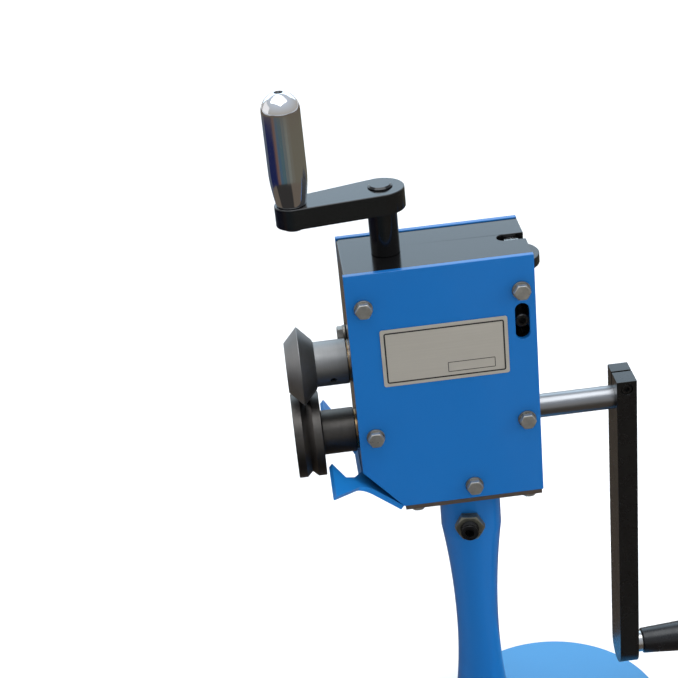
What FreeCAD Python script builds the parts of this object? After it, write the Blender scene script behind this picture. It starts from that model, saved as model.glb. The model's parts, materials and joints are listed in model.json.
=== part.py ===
"""Hand-cranked sheet metal flanger: two V-shaped rolls on a gear head, on a column and a round base.

Millimetres, +Z up. The origin is the centre of the base's underside. Both roll shafts lie along X,
with the rolls at -X and the crank at +X, and the operator stands on the -Y side.
"""
import FreeCAD, Part
import math
import os
import re

import Sketcher

V = FreeCAD.Vector

# Driving dimensions. Each is a cell of the sheet.
SIZES = {
    # fits
    "running_fit": 0.05,
    "snug_fit": 0.02,
    "thread_fit": 0.05,
    "bolt_play": 0.3,
    "face_gap": 0.3,
    # how far shapes of one solid run into each other
    "bite": 1.0,
    # base and column
    "base_radius": 108.0,
    "base_thick": 24.0,
    "base_round": 2.0,
    "column_offset": 72.0,
    "column_height": 290.0,
    "collar_radius": 28.0,
    "collar_height": 50.5,
    "waist_radius": 20.0,
    "waist_height": 124.0,
    "foot_radius": 32.0,
    "socket_depth": 110.0,
    "foot_screw_circle": 20.0,
    "foot_screw_reach": 16.0,
    # stem that turns in the column, and the screw that locks it
    "stem_radius": 18.0,
    "stem_length": 100.0,
    "neck_radius": 14.0,
    "neck_height": 8.0,
    "stem_screw_web": 4.0,
    "stem_screw_reach": 18.0,
    "lock_radius": 8.0,
    "lock_drop": 34.7,
    "lock_turn": 9.4,
    "lock_length": 24.8,
    "lock_nut_flats": 24.0,
    "lock_nut_thick": 8.0,
    "lock_seat_cut": 0.5,
    "lock_seat_margin": 1.0,
    "lock_key_flats": 8.0,
    "lock_key_depth": 9.0,
    # gear box
    "box_width": 160.0,
    "column_to_left": 98.0,
    "plate_thick": 5.0,
    "bottom_thick": 4.0,
    "bottom_inset": 1.3,
    "top_thick": 10.0,
    "top_drop": 1.0,
    "top_round": 3.0,
    "chamfer_run": 34.0,
    "chamfer_rise": 40.0,
    "left_thick": 22.0,
    "right_thick": 22.0,
    "foot_block_width": 50.0,
    "foot_block_height": 22.0,
    "chin_height": 44.0,
    "chin_foot_width": 58.0,
    "chin_foot_height": 14.0,
    "chin_wall": 12.0,
    "roof_room": 31.0,
    # gears, which set the distance between the two shafts
    "gear_module": 2.0,
    "gear_teeth": 35,
    "gear_width": 12.0,
    "gear_to_right": 45.0,
    "gear_backlash": 0.7,
    "gear_room": 1.0,
    "flank_slope": 0.375,
    # shafts, bushes and keys
    "shaft_radius": 12.5,
    "journal_radius": 10.7,
    "bush_radius": 15.0,
    "flange_radius": 18.0,
    "flange_thick": 1.0,
    "key_width": 8.0,
    "key_height": 7.0,
    "key_length": 12.0,
    "key_sink": 4.0,
    "key_inset": 2.0,
    "end_bolt_reach": 20.0,
    "end_sink": 9.0,
    "end_washer_radius": 16.0,
    "end_washer_thick": 3.0,
    "shaft_end_inset": 1.0,
    "spacer_wall": 4.0,
    # rolls
    "vee_to_box": 43.5,
    "roll_half_width": 12.5,
    "hub_radius": 20.0,
    "hub_gap": 0.4,
    "nip_gap": 1.5,
    "groove_depth": 4.5,
    "set_screw_radius": 3.0,
    "set_screw_to_box": 16.0,
    "set_screw_sink": 1.0,
    "set_screw_angle": 24.0,
    "set_key_flats": 3.0,
    "set_key_depth": 3.0,
    # rocker, which carries the upper shaft
    "pivot_to_right": 12.0,
    "pivot_rise": 40.0,
    "pivot_radius": 6.0,
    "rocker_gap": 6.5,
    "nose_radius": 19.0,
    "nose_reach": 0.5,
    "slot_play": 0.5,
    "slot_drop": 1.5,
    "slot_rise": 16.0,
    "fork_width": 46.0,
    "fork_length": 31.5,
    "fork_above_shaft": 51.0,
    "fork_below_shaft": 18.0,
    "fork_floor": 19.0,
    "beam_width": 24.0,
    "beam_rise": 41.0,
    "beam_height": 18.0,
    "beam_to_pivot": 12.0,
    "tongue_width": 12.0,
    "tongue_radius": 8.0,
    "tongue_top": 10.0,
    "leg_width": 38.0,
    "leg_length": 16.0,
    "leg_to_gear": 5.0,
    "leg_below_shaft": 19.0,
    "front_bush_length": 32.0,
    # feed spindle, nut, top arm and handle
    "spindle_to_left": 40.5,
    "feed_radius": 8.0,
    "feed_play": 0.2,
    "feed_end_rise": 31.0,
    "feed_nut_rise": 35.0,
    "feed_nut_length": 24.0,
    "feed_nut_width": 22.0,
    "feed_nut_height": 16.0,
    "trunnion_radius": 6.0,
    "trunnion_reach": 8.0,
    "spindle_neck": 9.0,
    "stop_ring_radius": 14.0,
    "stop_ring_height": 8.0,
    "stop_pin_radius": 2.0,
    "post_radius": 12.5,
    "post_height": 41.4,
    "tenon_radius": 10.0,
    "tenon_proud": 2.5,
    "tenon_chamfer": 1.5,
    "arm_thick": 18.4,
    "arm_hub_radius": 20.5,
    "arm_end_radius": 14.6,
    "arm_length": 76.6,
    "arm_turn": 191.0,
    "arm_chamfer": 1.0,
    "handle_pin_radius": 5.0,
    "handle_pin_head": 9.5,
    "handle_pin_head_thick": 3.0,
    "handle_length": 96.5,
    "handle_radius": 16.0,
    "handle_foot_radius": 12.8,
    "handle_taper": 30.0,
    "handle_mouth": 3.75,
    "handle_mouth_depth": 8.0,
    "handle_pin_sink": 2.0,
    # rear adjuster
    "adjuster_to_right": 11.5,
    "stud_radius": 6.0,
    "stud_sink": 3.0,
    "carriage_width": 27.9,
    "carriage_length": 16.5,
    "carriage_below_pivot": 12.0,
    "carriage_above_pivot": 26.0,
    "carriage_bridge": 10.0,
    "carriage_to_wall": 0.5,
    "channel_wall": 3.0,
    "channel_below_pivot": 21.0,
    "wheel_radius": 23.5,
    "wheel_thick": 9.0,
    "wheel_drop": 5.5,
    "wheel_room": 0.5,
    "pin_slot_travel": 22.0,
    "pin_inset": 1.0,
    "pin_key_flats": 6.0,
    "pin_key_depth": 5.0,
    "top_slot_width": 12.6,
    # crank
    "crank_reach": 73.8,
    "crank_thick": 18.2,
    "crank_width": 36.0,
    "crank_radius": 282.0,
    "crank_above_shaft": 24.0,
    "crank_slit": 2.0,
    "crank_slit_back": 2.5,
    "clamp_rise": 16.0,
    "clamp_reach": 24.0,
    "clamp_seat": 6.5,
    "grip_pin_radius": 6.0,
    "grip_pin_inset": 1.0,
    "ferrule_radius": 10.5,
    "ferrule_length": 7.0,
    "grip_length": 105.0,
    "grip_radius": 17.0,
    "grip_foot_radius": 12.3,
    "grip_taper": 75.0,
    # guide for the sheet
    "guide_slope": 38.66,
    "guide_thick": 5.0,
    "guide_drop": 1.0,
    "guide_tip_half": 40.5,
    "guide_waist_half": 39.5,
    "guide_waist_at": 42.5,
    "guide_wing_half": 86.0,
    "guide_wing_at": 77.0,
    "guide_cut_half": 43.3,
    "guide_cut_at": 63.0,
    "guide_cut_mouth": 31.5,
    "guide_cut_shoulder": 35.0,
    "guide_cut_shoulder_at": 53.0,
    "guide_cut_floor": 18.5,
    "guide_cut_floor_at": 44.0,
    "guide_round": 1.0,
    "guide_waist_round": 12.0,
    "guide_screw_spread": 24.0,
    "guide_screw_first": 14.0,
    "guide_screw_pitch": 14.0,
    "guide_screw_reach": 16.0,
    "wedge_width": 36.0,
    "wedge_start": 4.0,
    # side bolts and their washers (M8), foot and stem screws (M10), small screws (M6)
    "eight_radius": 4.0,
    "eight_flats": 13.0,
    "eight_head": 5.3,
    "eight_length": 25.0,
    "washer_radius": 8.0,
    "washer_thick": 2.2,
    "bottom_bolt_reach": 14.0,
    "ten_radius": 5.0,
    "ten_head_radius": 8.0,
    "ten_head": 10.0,
    "ten_key_flats": 8.0,
    "six_radius": 3.0,
    "six_head_radius": 5.0,
    "six_head": 6.0,
    "six_key_flats": 5.0,
    "key_depth_share": 0.5,
    "bolt_left": 14.4,
    "bolt_below_roof": 31.1,
    "bolt_above_floor": 75.4,
    "foot_bolt_height": 13.9,
    "bottom_bolt_left": 47.0,
    "bottom_bolt_right": 11.7,
    "bottom_bolt_inset": 10.5,
    "end_bolt_side": 29.0,
    "end_bolt_above_press": 12.0,
    # name plate
    "name_width": 109.0,
    "name_height": 54.5,
    "name_thick": 0.8,
    "name_left": 26.0,
    "name_bottom": 124.0,
    "name_round": 2.0,
}

# Places and sizes that follow from the driving dimensions.
PLACES = {
    "column_top": "base_thick + column_height",
    "column_x": "-column_offset",
    "box_left": "column_x - column_to_left",
    "box_right": "box_left + box_width",
    "box_floor": "column_top + bottom_thick",
    "pitch_radius": "gear_module * gear_teeth / 2",
    "tip_radius": "pitch_radius + gear_module",
    "root_radius": "pitch_radius - 1.25 * gear_module",
    "half_room": "tip_radius + gear_room",
    "half_depth": "half_room + plate_thick",
    "drive_z": "box_floor + foot_block_height + 2 * gear_room + tip_radius",
    "press_z": "drive_z + 2 * pitch_radius",
    "pivot_z": "press_z + pivot_rise",
    "beam_z": "press_z + beam_rise",
    "block_top": "beam_z + beam_height + roof_room",
    "top_z": "block_top + top_thick",
    "box_roof": "top_z + top_drop",
    "left_inner": "box_left + left_thick",
    "right_inner": "box_right - right_thick",
    "pivot_x": "box_right - pivot_to_right",
    "adjuster_x": "box_right - adjuster_to_right",
    "spindle_x": "box_left + spindle_to_left",
    "gear_x": "box_right - gear_to_right",
    "chin_top": "box_floor + chin_height",
    "foot_block_left": "column_x - foot_block_width / 2",
    "vee_x": "box_left - vee_to_box",
    "roll_left": "vee_x - roll_half_width",
    "roll_right": "vee_x + roll_half_width",
    "shaft_start": "roll_left + end_sink + shaft_end_inset",
    "sink_radius": "end_washer_radius + face_gap",
    "press_radius": "pitch_radius",
    "groove_radius": "pitch_radius - nip_gap",
    "rim_radius": "groove_radius + groove_depth",
    "press_nose_x": "box_left - nose_reach",
    "press_hub_end": "press_nose_x - flange_thick - hub_gap",
    "drive_hub_end": "box_left - flange_thick - hub_gap",
    "fork_left": "left_inner + rocker_gap",
    "fork_right": "fork_left + fork_length",
    "beam_end": "pivot_x - beam_to_pivot",
    "leg_right": "gear_x - leg_to_gear",
    "leg_left": "leg_right - leg_length",
    "nut_z": "press_z + feed_nut_rise",
    "arm_z": "top_z + post_height",
    "arm_top": "arm_z + arm_thick",
    "handle_x": "spindle_x + arm_length * cos(arm_turn * 1deg)",
    "handle_y": "arm_length * sin(arm_turn * 1deg)",
    "crank_left": "box_right + crank_reach",
    "crank_right": "crank_left + crank_thick",
    "grip_z": "drive_z - crank_radius",
    "grip_start": "crank_right + ferrule_length",
    "lock_z": "column_top - lock_drop",
    "lock_seat_y": "-(collar_radius - lock_seat_cut)",
    "carriage_right": "box_right - channel_wall - carriage_to_wall",
    "carriage_left": "carriage_right - carriage_length",
    "wheel_z": "block_top - wheel_drop - wheel_thick / 2",
    "guide_tip_x": "box_left + chamfer_run",
    "guide_tip_z": "box_floor - guide_drop",
    "washer_y": "half_depth + washer_thick",
    "end_bolt_z": "press_z + end_bolt_above_press",
}

AXES = {
    "+x": V(1, 0, 0),
    "-x": V(-1, 0, 0),
    "+y": V(0, 1, 0),
    "-y": V(0, -1, 0),
    "+z": V(0, 0, 1),
    "-z": V(0, 0, -1),
}

doc = FreeCAD.newDocument("flanger")
sheet = doc.addObject("Spreadsheet::Sheet", "sizes")
for row, (alias, value) in enumerate(SIZES.items(), start=1):
    sheet.set(f"A{row}", alias.replace("_", " "))
    sheet.set(f"B{row}", str(value))
    sheet.setAlias(f"B{row}", alias)
doc.recompute()

NODES = {}


# ---- expressions -------------------------------------------------------------------------------

def full(text):
    """Spell an expression out in sheet cells: a place becomes its sizes, a size its cell."""
    def swap(match):
        word = match.group(0)
        if word in PLACES:
            return "(" + full(PLACES[word]) + ")"
        if word in SIZES:
            return "sizes." + word
        return word
    return re.sub(r"[a-z][a-z_]*", swap, text)


def number(text):
    """Work an expression out from the sheet."""
    return float(sheet.evalExpression(full(text)))


def bind(thing, **expressions):
    """Bind properties of an object to expressions."""
    for prop, text in expressions.items():
        thing.setExpression(prop, full(text))


def place(thing, at, turn=None):
    """Turn an object, and bind its place to three expressions."""
    thing.Placement = FreeCAD.Placement(V(), turn or FreeCAD.Rotation())
    for axis, text in zip("xyz", at):
        thing.setExpression("Placement.Base." + axis, full(text))
    return thing


def facing(toward):
    """The turn that points an object's own Z along an axis."""
    return FreeCAD.Rotation(V(0, 0, 1), AXES[toward])


# ---- primitives and booleans --------------------------------------------------------------------

def rod(radius, length, at, toward="+z"):
    """A cylinder that starts at a point and runs along an axis."""
    thing = doc.addObject("Part::Cylinder", "rod")
    bind(thing, Radius=radius, Height=length)
    return place(thing, at, facing(toward))


def block(x_from, x_to, y_from, y_to, z_from, z_to):
    """A box between two values on each axis."""
    thing = doc.addObject("Part::Box", "block")
    bind(thing, Length=f"{x_to} - ({x_from})", Width=f"{y_to} - ({y_from})", Height=f"{z_to} - ({z_from})")
    return place(thing, (x_from, y_from, z_from))


def prism(flats, height, at, toward="+z"):
    """A hexagonal prism, measured across its flats."""
    thing = doc.addObject("Part::Prism", "prism")
    thing.Polygon = 6
    bind(thing, Circumradius=f"{flats} / 2 / cos(30deg)", Height=height)
    return place(thing, at, facing(toward))


def fuse(*parts):
    """One solid, or one group of solids, out of several objects."""
    thing = doc.addObject("Part::MultiFuse", "joined")
    thing.Shapes = list(parts)
    return thing


def group(parts):
    """Separate solids that share one node."""
    thing = doc.addObject("Part::Compound", "group")
    thing.Links = list(parts)
    return thing


def cut(base, *tools):
    """Take tools away from a base."""
    thing = doc.addObject("Part::Cut", "cut")
    thing.Base = base
    thing.Tool = tools[0] if len(tools) == 1 else fuse(*tools)
    return thing


def node(label, thing):
    """Name a finished sub-part."""
    thing.Label = label
    NODES[label] = thing
    return thing


def ring(outer, inner, length, at, toward):
    """A plain ring."""
    return cut(rod(outer, length, at, toward), rod(inner, length, at, toward))


# ---- sketched bodies ----------------------------------------------------------------------------

def origin_plane(body, role):
    """A body's own origin plane."""
    return [plane for plane in body.Origin.OriginFeatures if plane.Role == role][0]


def arc_middle(start, end, radius):
    """The middle of the short arc from start to end that turns left."""
    chord = end - start
    left = V(-chord.y, chord.x, 0).normalize()
    rise = math.sqrt(radius ** 2 - (chord.Length / 2) ** 2)
    return (start + end) * 0.5 + left * (rise - radius)


def outline(body, role, corners, arcs=None):
    """A closed sketch through bound corners. arcs gives an edge's radius, for arcs that turn left."""
    arcs = arcs or {}
    sketch = body.newObject("Sketcher::SketchObject", body.Name + "_outline")
    sketch.AttachmentSupport = (origin_plane(body, role), [""])
    sketch.MapMode = "FlatFace"
    spots = [V(number(across), number(up), 0) for across, up in corners]
    for index, start in enumerate(spots):
        end = spots[(index + 1) % len(spots)]
        if index in arcs:
            edge = Part.Arc(start, arc_middle(start, end, number(arcs[index])), end)
        else:
            edge = Part.LineSegment(start, end)
        sketch.addGeometry(edge, False)
    for index in range(len(spots)):
        sketch.addConstraint(Sketcher.Constraint("Coincident", index, 2, (index + 1) % len(spots), 1))
    for index, (across, up) in enumerate(corners):
        for kind, text in (("DistanceX", across), ("DistanceY", up)):
            size = sketch.addConstraint(Sketcher.Constraint(kind, index, 1, number(text)))
            sketch.setExpression(f"Constraints[{size}]", full(text))
    for index, text in arcs.items():
        size = sketch.addConstraint(Sketcher.Constraint("Radius", index, number(text)))
        sketch.setExpression(f"Constraints[{size}]", full(text))
    return sketch


def turned(name, axis, corners, at, arcs=None):
    """A body turned about X (corners are along, radius) or Z (corners are radius, along)."""
    body = doc.addObject("PartDesign::Body", name)
    sketch = outline(body, "XZ_Plane", corners, arcs)
    turning = body.newObject("PartDesign::Revolution", name + "_turning")
    turning.Profile = sketch
    turning.ReferenceAxis = (sketch, ["H_Axis" if axis == "x" else "V_Axis"])
    turning.Angle = 360.0
    return place(body, at)


def padded(name, role, corners, thick, at, arcs=None, both_ways=False, turn=None):
    """A body raised from a sketch, along the sketch's normal or half to each side."""
    body = doc.addObject("PartDesign::Body", name)
    pad = body.newObject("PartDesign::Pad", name + "_pad")
    pad.Profile = outline(body, role, corners, arcs)
    pad.SideType = "Symmetric" if both_ways else "One side"
    bind(pad, Length=thick)
    return place(body, at, turn)


def upright_edges(body, keep):
    """The edges of a body's tip that run along its own Z, chosen by the test keep(x, y)."""
    doc.recompute()
    names = []
    for index, edge in enumerate(body.Tip.Shape.Edges, start=1):
        start, end = edge.Vertexes[0].Point, edge.Vertexes[-1].Point
        upright = abs(start.x - end.x) < 1e-6 and abs(start.y - end.y) < 1e-6
        if upright and keep(start.x, start.y):
            names.append(f"Edge{index}")
    return names


def round_edges(body, names, radius):
    """A fillet on a body's tip."""
    tip = body.Tip
    feature = body.newObject("PartDesign::Fillet", body.Name + "_round")
    feature.Base = (tip, names)
    bind(feature, Radius=radius)
    return body


# ---- fasteners ----------------------------------------------------------------------------------

def away(at, toward, text):
    """A point moved back against an axis by an expression."""
    sign, axis = toward
    spot = list(at)
    index = "xyz".index(axis)
    spot[index] = f"{spot[index]} {'-' if sign == '+' else '+'} ({text})"
    return tuple(spot)


def opposite(toward):
    """The other way along the same axis."""
    return ("-" if toward[0] == "+" else "+") + toward[1]


def hex_bolt(at, toward, radius, flats, head, length):
    """A hexagon bolt whose head sits at a point, with its shank pointing along an axis."""
    return fuse(prism(flats, head, at, opposite(toward)), rod(radius, length, at, toward))


def socket_screw(at, toward, radius, head_radius, head, key, length):
    """A socket head screw whose head sits at a point, with its shank pointing along an axis."""
    top = away(at, toward, head)
    body = fuse(rod(head_radius, head, at, opposite(toward)), rod(radius, length, at, toward))
    return cut(body, prism(key, f"{head} * key_depth_share", top, toward))


def side_bolt_spots():
    """Where the bolts go through the front and back plates, as X and Z."""
    return [
        ("box_left + bolt_left", "box_roof - bolt_below_roof"),
        ("pivot_x", "box_roof - bolt_below_roof"),
        ("box_left + bolt_left", "box_floor + bolt_above_floor"),
        ("pivot_x", "box_floor + bolt_above_floor"),
        ("column_x", "box_floor + foot_bolt_height"),
    ]


def side_bolt_seats():
    """Where each side bolt's head sits on its washer, and the way its shank points."""
    seats = []
    for x, z in side_bolt_spots():
        seats.append(((x, "-washer_y", z), "+y"))
        seats.append(((x, "washer_y", z), "-y"))
    seats.append((("box_left - washer_thick", "end_bolt_side", "end_bolt_z"), "+x"))
    return seats


def side_bolt_holes(play):
    """Tools for the holes of the side bolts."""
    return [rod(f"eight_radius + {play}", "eight_length", at, toward) for at, toward in side_bolt_seats()]


def bottom_bolt_seats():
    """Where the four bolts from below sit."""
    seats = []
    for x in ("box_left + bottom_bolt_left", "box_right - bottom_bolt_right"):
        for side in ("-", ""):
            seats.append((x, f"{side}(half_depth - bottom_bolt_inset)", "column_top"))
    return seats


def bottom_bolt_holes(play):
    """Tools for the holes of the bolts from below."""
    reach = "bottom_bolt_reach + snug_fit"
    return [rod(f"eight_radius + {play}", reach, at, "+z") for at in bottom_bolt_seats()]


THREAD_HOLES = side_bolt_holes("thread_fit")
PLATE_HOLES = side_bolt_holes("bolt_play")
UNDER_THREADS = bottom_bolt_holes("thread_fit")
UNDER_HOLES = bottom_bolt_holes("bolt_play")


# ---- stand --------------------------------------------------------------------------------------

def foot_screw_spots():
    """The three screws that hold the column, round its axis."""
    spots = []
    for step in range(3):
        angle = f"({60 + 120 * step}deg)"
        spots.append((f"column_x + foot_screw_circle * cos{angle}", f"foot_screw_circle * sin{angle}"))
    return spots


def at_lock(thing):
    """Move an object made along -Y from the origin to the lock screw's place on the column."""
    moved = doc.addObject("Part::Compound", "round_column")
    moved.Links = [thing]
    return place(moved, ("column_x", "0", "lock_z"), FreeCAD.Rotation(V(0, 0, 1), -number("lock_turn")))


def make_stand():
    """Round base, cast column, its screws, and the nut of the lock screw."""
    base = turned(
        "base_body", "z",
        [("0", "0"), ("base_radius", "0"), ("base_radius", "base_thick - base_round"),
         ("base_radius - base_round", "base_thick"), ("0", "base_thick")],
        ("0", "0", "0"), {2: "base_round"},
    )
    shanks = [rod("ten_radius + bolt_play", "base_thick", (x, y, "0")) for x, y in foot_screw_spots()]
    head_room = "ten_head + face_gap"
    sinks = [rod("ten_head_radius + face_gap", head_room, (x, y, "0")) for x, y in foot_screw_spots()]
    node("base_plate", cut(base, *shanks, *sinks))

    screws = []
    for x, y in foot_screw_spots():
        length = "base_thick - ten_head - face_gap + foot_screw_reach"
        screws.append(socket_screw((x, y, head_room), "+z", "ten_radius", "ten_head_radius", "ten_head",
                                   "ten_key_flats", length))
    node("foot_screws", group(screws))

    upper = "(column_height - collar_height - waist_height)"
    upper_arc = f"({upper} ^ 2 + (collar_radius - waist_radius) ^ 2) / 2 / (collar_radius - waist_radius)"
    lower_arc = "(waist_height ^ 2 + (foot_radius - waist_radius) ^ 2) / 2 / (foot_radius - waist_radius)"
    column = turned(
        "column_body", "z",
        [("0", "0"), ("0", "column_height"), ("collar_radius", "column_height"),
         ("collar_radius", "column_height - collar_height"), ("waist_radius", "waist_height"),
         ("foot_radius", "0")],
        ("column_x", "0", "base_thick"), {3: upper_arc, 4: lower_arc},
    )
    socket = rod("stem_radius + running_fit", "socket_depth", ("column_x", "0", "column_top"), "-z")
    threads = []
    for x, y in foot_screw_spots():
        threads.append(rod("ten_radius + thread_fit", "foot_screw_reach + face_gap", (x, y, "base_thick")))
    lock_hole = rod("lock_radius + thread_fit", "collar_radius + face_gap", ("0", "0", "0"), "-y")
    seat_at = ("0", "lock_seat_y", "0")
    seat = rod("lock_nut_flats / 2 / cos(30deg) + lock_seat_margin", "collar_radius", seat_at, "-y")
    node("column", cut(column, socket, at_lock(lock_hole), at_lock(seat), *threads))

    nut = cut(prism("lock_nut_flats", "lock_nut_thick", seat_at, "-y"),
              rod("lock_radius + thread_fit", "lock_nut_thick", seat_at, "-y"))
    node("lock_nut", at_lock(nut))

    tip = ("0", "-(stem_radius + running_fit)", "0")
    outer = away(tip, "+y", "lock_length")
    socket = prism("lock_key_flats", "lock_key_depth", outer, "+y")
    node("lock_screw", at_lock(cut(rod("lock_radius", "lock_length", tip, "-y"), socket)))


# ---- head: the gear box -------------------------------------------------------------------------

def make_stem():
    """The stem that turns in the column, the block it carries, and their screw."""
    stem = turned(
        "stem_body", "z",
        [("0", "-stem_length"), ("stem_radius", "-stem_length"), ("stem_radius", "0"),
         ("neck_radius", "0"), ("neck_radius", "bottom_thick + neck_height"),
         ("0", "bottom_thick + neck_height")],
        ("column_x", "0", "column_top"),
    )
    screw_seat = ("column_x", "0", "box_floor + neck_height + stem_screw_web")
    length = "stem_screw_web + stem_screw_reach"
    thread = rod("ten_radius + thread_fit", f"{length} + face_gap", screw_seat, "-z")
    node("head_stem", cut(stem, thread))
    node("stem_screw", socket_screw(screw_seat, "-z", "ten_radius", "ten_head_radius", "ten_head",
                                    "ten_key_flats", length))

    solid = block("foot_block_left", "foot_block_left + foot_block_width", "-half_room", "half_room",
                  "box_floor", "box_floor + foot_block_height")
    neck = rod("neck_radius + snug_fit", "neck_height", ("column_x", "0", "box_floor"))
    shank = rod("ten_radius + bolt_play", "foot_block_height", ("column_x", "0", "box_floor"))
    sink = rod("ten_head_radius + face_gap", "foot_block_height", screw_seat)
    node("foot_block", cut(solid, neck, shank, sink, *THREAD_HOLES))


def make_bottom_and_top():
    """The thin bottom plate and the thick top plate, both between the side plates' ends."""
    bottom = block("guide_tip_x + bottom_inset", "box_right - bottom_inset", "-half_depth", "half_depth",
                   "column_top", "box_floor")
    neck = rod("neck_radius + snug_fit", "bottom_thick", ("column_x", "0", "column_top"))
    node("bottom_plate", cut(bottom, neck, *UNDER_HOLES))
    under = []
    for at in bottom_bolt_seats():
        under.append(hex_bolt(at, "+z", "eight_radius", "eight_flats", "eight_head", "bottom_bolt_reach"))
    node("bottom_bolts", group(under))

    top = padded(
        "top_body", "XY_Plane",
        [("box_left", "-half_room"), ("box_right", "-half_room"), ("box_right", "half_room"),
         ("box_left", "half_room")],
        "top_thick", ("0", "0", "block_top"),
    )
    left = number("box_left")
    round_edges(top, upright_edges(top, lambda x, y: abs(x - left) < 1e-6), "top_round")
    bore = rod("spindle_neck + running_fit", "top_thick", ("spindle_x", "0", "block_top"))
    slot_end = ("adjuster_x - top_slot_width / 2", "0", "block_top")
    slot = block(slot_end[0], "box_right", "-top_slot_width / 2", "top_slot_width / 2", "block_top", "top_z")
    node("top_plate", cut(top, bore, slot, rod("top_slot_width / 2", "top_thick", slot_end)))


def pin_slot(depth_from, depth_to):
    """The upright slot for the pivot pin, cut between two depths."""
    width = "pivot_radius + 4 * running_fit"
    tools = [block(f"pivot_x - ({width})", f"pivot_x + {width}", depth_from, depth_to,
                   "pivot_z - pin_slot_travel / 2", "pivot_z + pin_slot_travel / 2")]
    for rise in ("-", "+"):
        at = ("pivot_x", depth_from, f"pivot_z {rise} pin_slot_travel / 2")
        tools.append(rod(width, f"{depth_to} - ({depth_from})", at, "+y"))
    return tools


def make_side_plates():
    """Front and back plates, alike but for the side they are on."""
    shape = [
        ("box_left + chamfer_run", "box_floor"), ("box_right", "box_floor"), ("box_right", "box_roof"),
        ("box_left", "box_roof"), ("box_left", "box_floor + chamfer_rise"),
    ]
    for label, y in (("front_plate", "-half_room"), ("back_plate", "half_depth")):
        plate = padded(label + "_body", "XZ_Plane", shape, "plate_thick", ("0", y, "0"))
        slot = pin_slot("-half_depth", "half_depth")
        node(label, cut(plate, *PLATE_HOLES, *slot))


def make_end_blocks():
    """Left and right blocks, which hold the drive shaft's bushes and take the side bolts."""
    left = block("box_left", "left_inner", "-half_room", "half_room", "chin_top", "block_top")
    bush = rod("bush_radius + snug_fit", "left_thick", ("box_left", "0", "drive_z"), "+x")
    width = "nose_radius + slot_play"
    slot = [block("box_left", "left_inner", f"-({width})", width,
                  "press_z - slot_drop", "press_z + slot_rise")]
    for z in ("press_z - slot_drop", "press_z + slot_rise"):
        slot.append(rod(width, "left_thick", ("box_left", "0", z), "+x"))
    node("left_block", cut(left, bush, *slot, *THREAD_HOLES))

    right = block("right_inner", "box_right", "-half_room", "half_room", "box_floor", "block_top")
    bush = rod("bush_radius + snug_fit", "right_thick", ("right_inner", "0", "drive_z"), "+x")
    half = "carriage_width / 2 + running_fit"
    channel = block("right_inner", "box_right - channel_wall", f"-({half})", half,
                    "pivot_z - channel_below_pivot", "block_top")
    wheel_half = "(wheel_radius + wheel_room)"
    groove_low = "wheel_z - wheel_thick / 2 - wheel_room / 2"
    groove = block("right_inner", "box_right", f"-{wheel_half}", wheel_half,
                   groove_low, f"{groove_low} + wheel_thick + wheel_room")
    slot = pin_slot("-half_room", "half_room")
    node("right_block", cut(right, bush, channel, groove, *slot, *THREAD_HOLES, *UNDER_THREADS))


def make_chin():
    """The sloping block that closes the cut corner, with the wedge that the guide is screwed to."""
    shape = [
        ("box_left", "box_floor + chamfer_rise"), ("box_left + chamfer_run", "box_floor"),
        ("box_left + chin_foot_width", "box_floor"),
        ("box_left + chin_foot_width", "box_floor + chin_foot_height"),
        ("box_left + chamfer_run + chin_wall", "box_floor + chin_foot_height"),
        ("left_inner", "chin_top"), ("box_left", "chin_top"),
    ]
    bar = padded("chin_body", "XZ_Plane", shape, "2 * half_room", ("0", "0", "0"), both_ways=True)
    chamfer_drop = "chamfer_rise / chamfer_run"
    inner = "box_left + wedge_start"
    outer = "box_left + chamfer_run - wedge_start"
    rise = "tan(guide_slope * 1deg)"
    wedge_shape = [
        (inner, f"box_floor + chamfer_rise - wedge_start * {chamfer_drop} + bite"),
        (inner, f"guide_tip_z + (chamfer_run - wedge_start) * {rise}"),
        (outer, f"guide_tip_z + wedge_start * {rise}"),
        (outer, f"box_floor + wedge_start * {chamfer_drop} + bite"),
    ]
    wedge = padded("wedge_body", "XZ_Plane", wedge_shape, "wedge_width", ("0", "0", "0"), both_ways=True)
    holes = [guide_frame(rod("six_radius + thread_fit", "guide_screw_reach", (u, v, "-guide_thick")))
             for u, v in guide_screw_spots()]
    node("chin_block", cut(fuse(bar, wedge), *holes, *UNDER_THREADS))


def make_side_bolts():
    """All M8 bolts of the box's sides, and their washers."""
    bolts = []
    washers = []
    for at, toward in side_bolt_seats():
        bolts.append(hex_bolt(at, toward, "eight_radius", "eight_flats", "eight_head", "eight_length"))
        washers.append(ring("washer_radius", "eight_radius + bolt_play", "washer_thick", at, toward))
    node("side_bolts", group(bolts))
    node("side_washers", group(washers))


def make_name_plate():
    """A bare name plate on the front."""
    left = "box_left + name_left"
    low = "box_floor + name_bottom"
    plate = padded(
        "name_body", "XZ_Plane",
        [(f"{left} + name_round", low), (f"{left} + name_width - name_round", low),
         (f"{left} + name_width", f"{low} + name_round"),
         (f"{left} + name_width", f"{low} + name_height - name_round"),
         (f"{left} + name_width - name_round", f"{low} + name_height"),
         (f"{left} + name_round", f"{low} + name_height"),
         (left, f"{low} + name_height - name_round"), (left, f"{low} + name_round")],
        "name_thick", ("0", "-half_depth", "0"),
        {1: "name_round", 3: "name_round", 5: "name_round", 7: "name_round"},
    )
    node("name_plate", plate)


def bush(name, start, length, flanged):
    """A bush along X from a point, with or without a flange on its -X side."""
    bore = "shaft_radius + running_fit"
    if flanged:
        corners = [("0", bore), (length, bore), (length, "bush_radius"), ("0", "bush_radius"),
                   ("0", "flange_radius"), ("-flange_thick", "flange_radius"), ("-flange_thick", bore)]
    else:
        corners = [("0", bore), (length, bore), (length, "bush_radius"), ("0", "bush_radius")]
    return turned(name, "x", corners, start)


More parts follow.
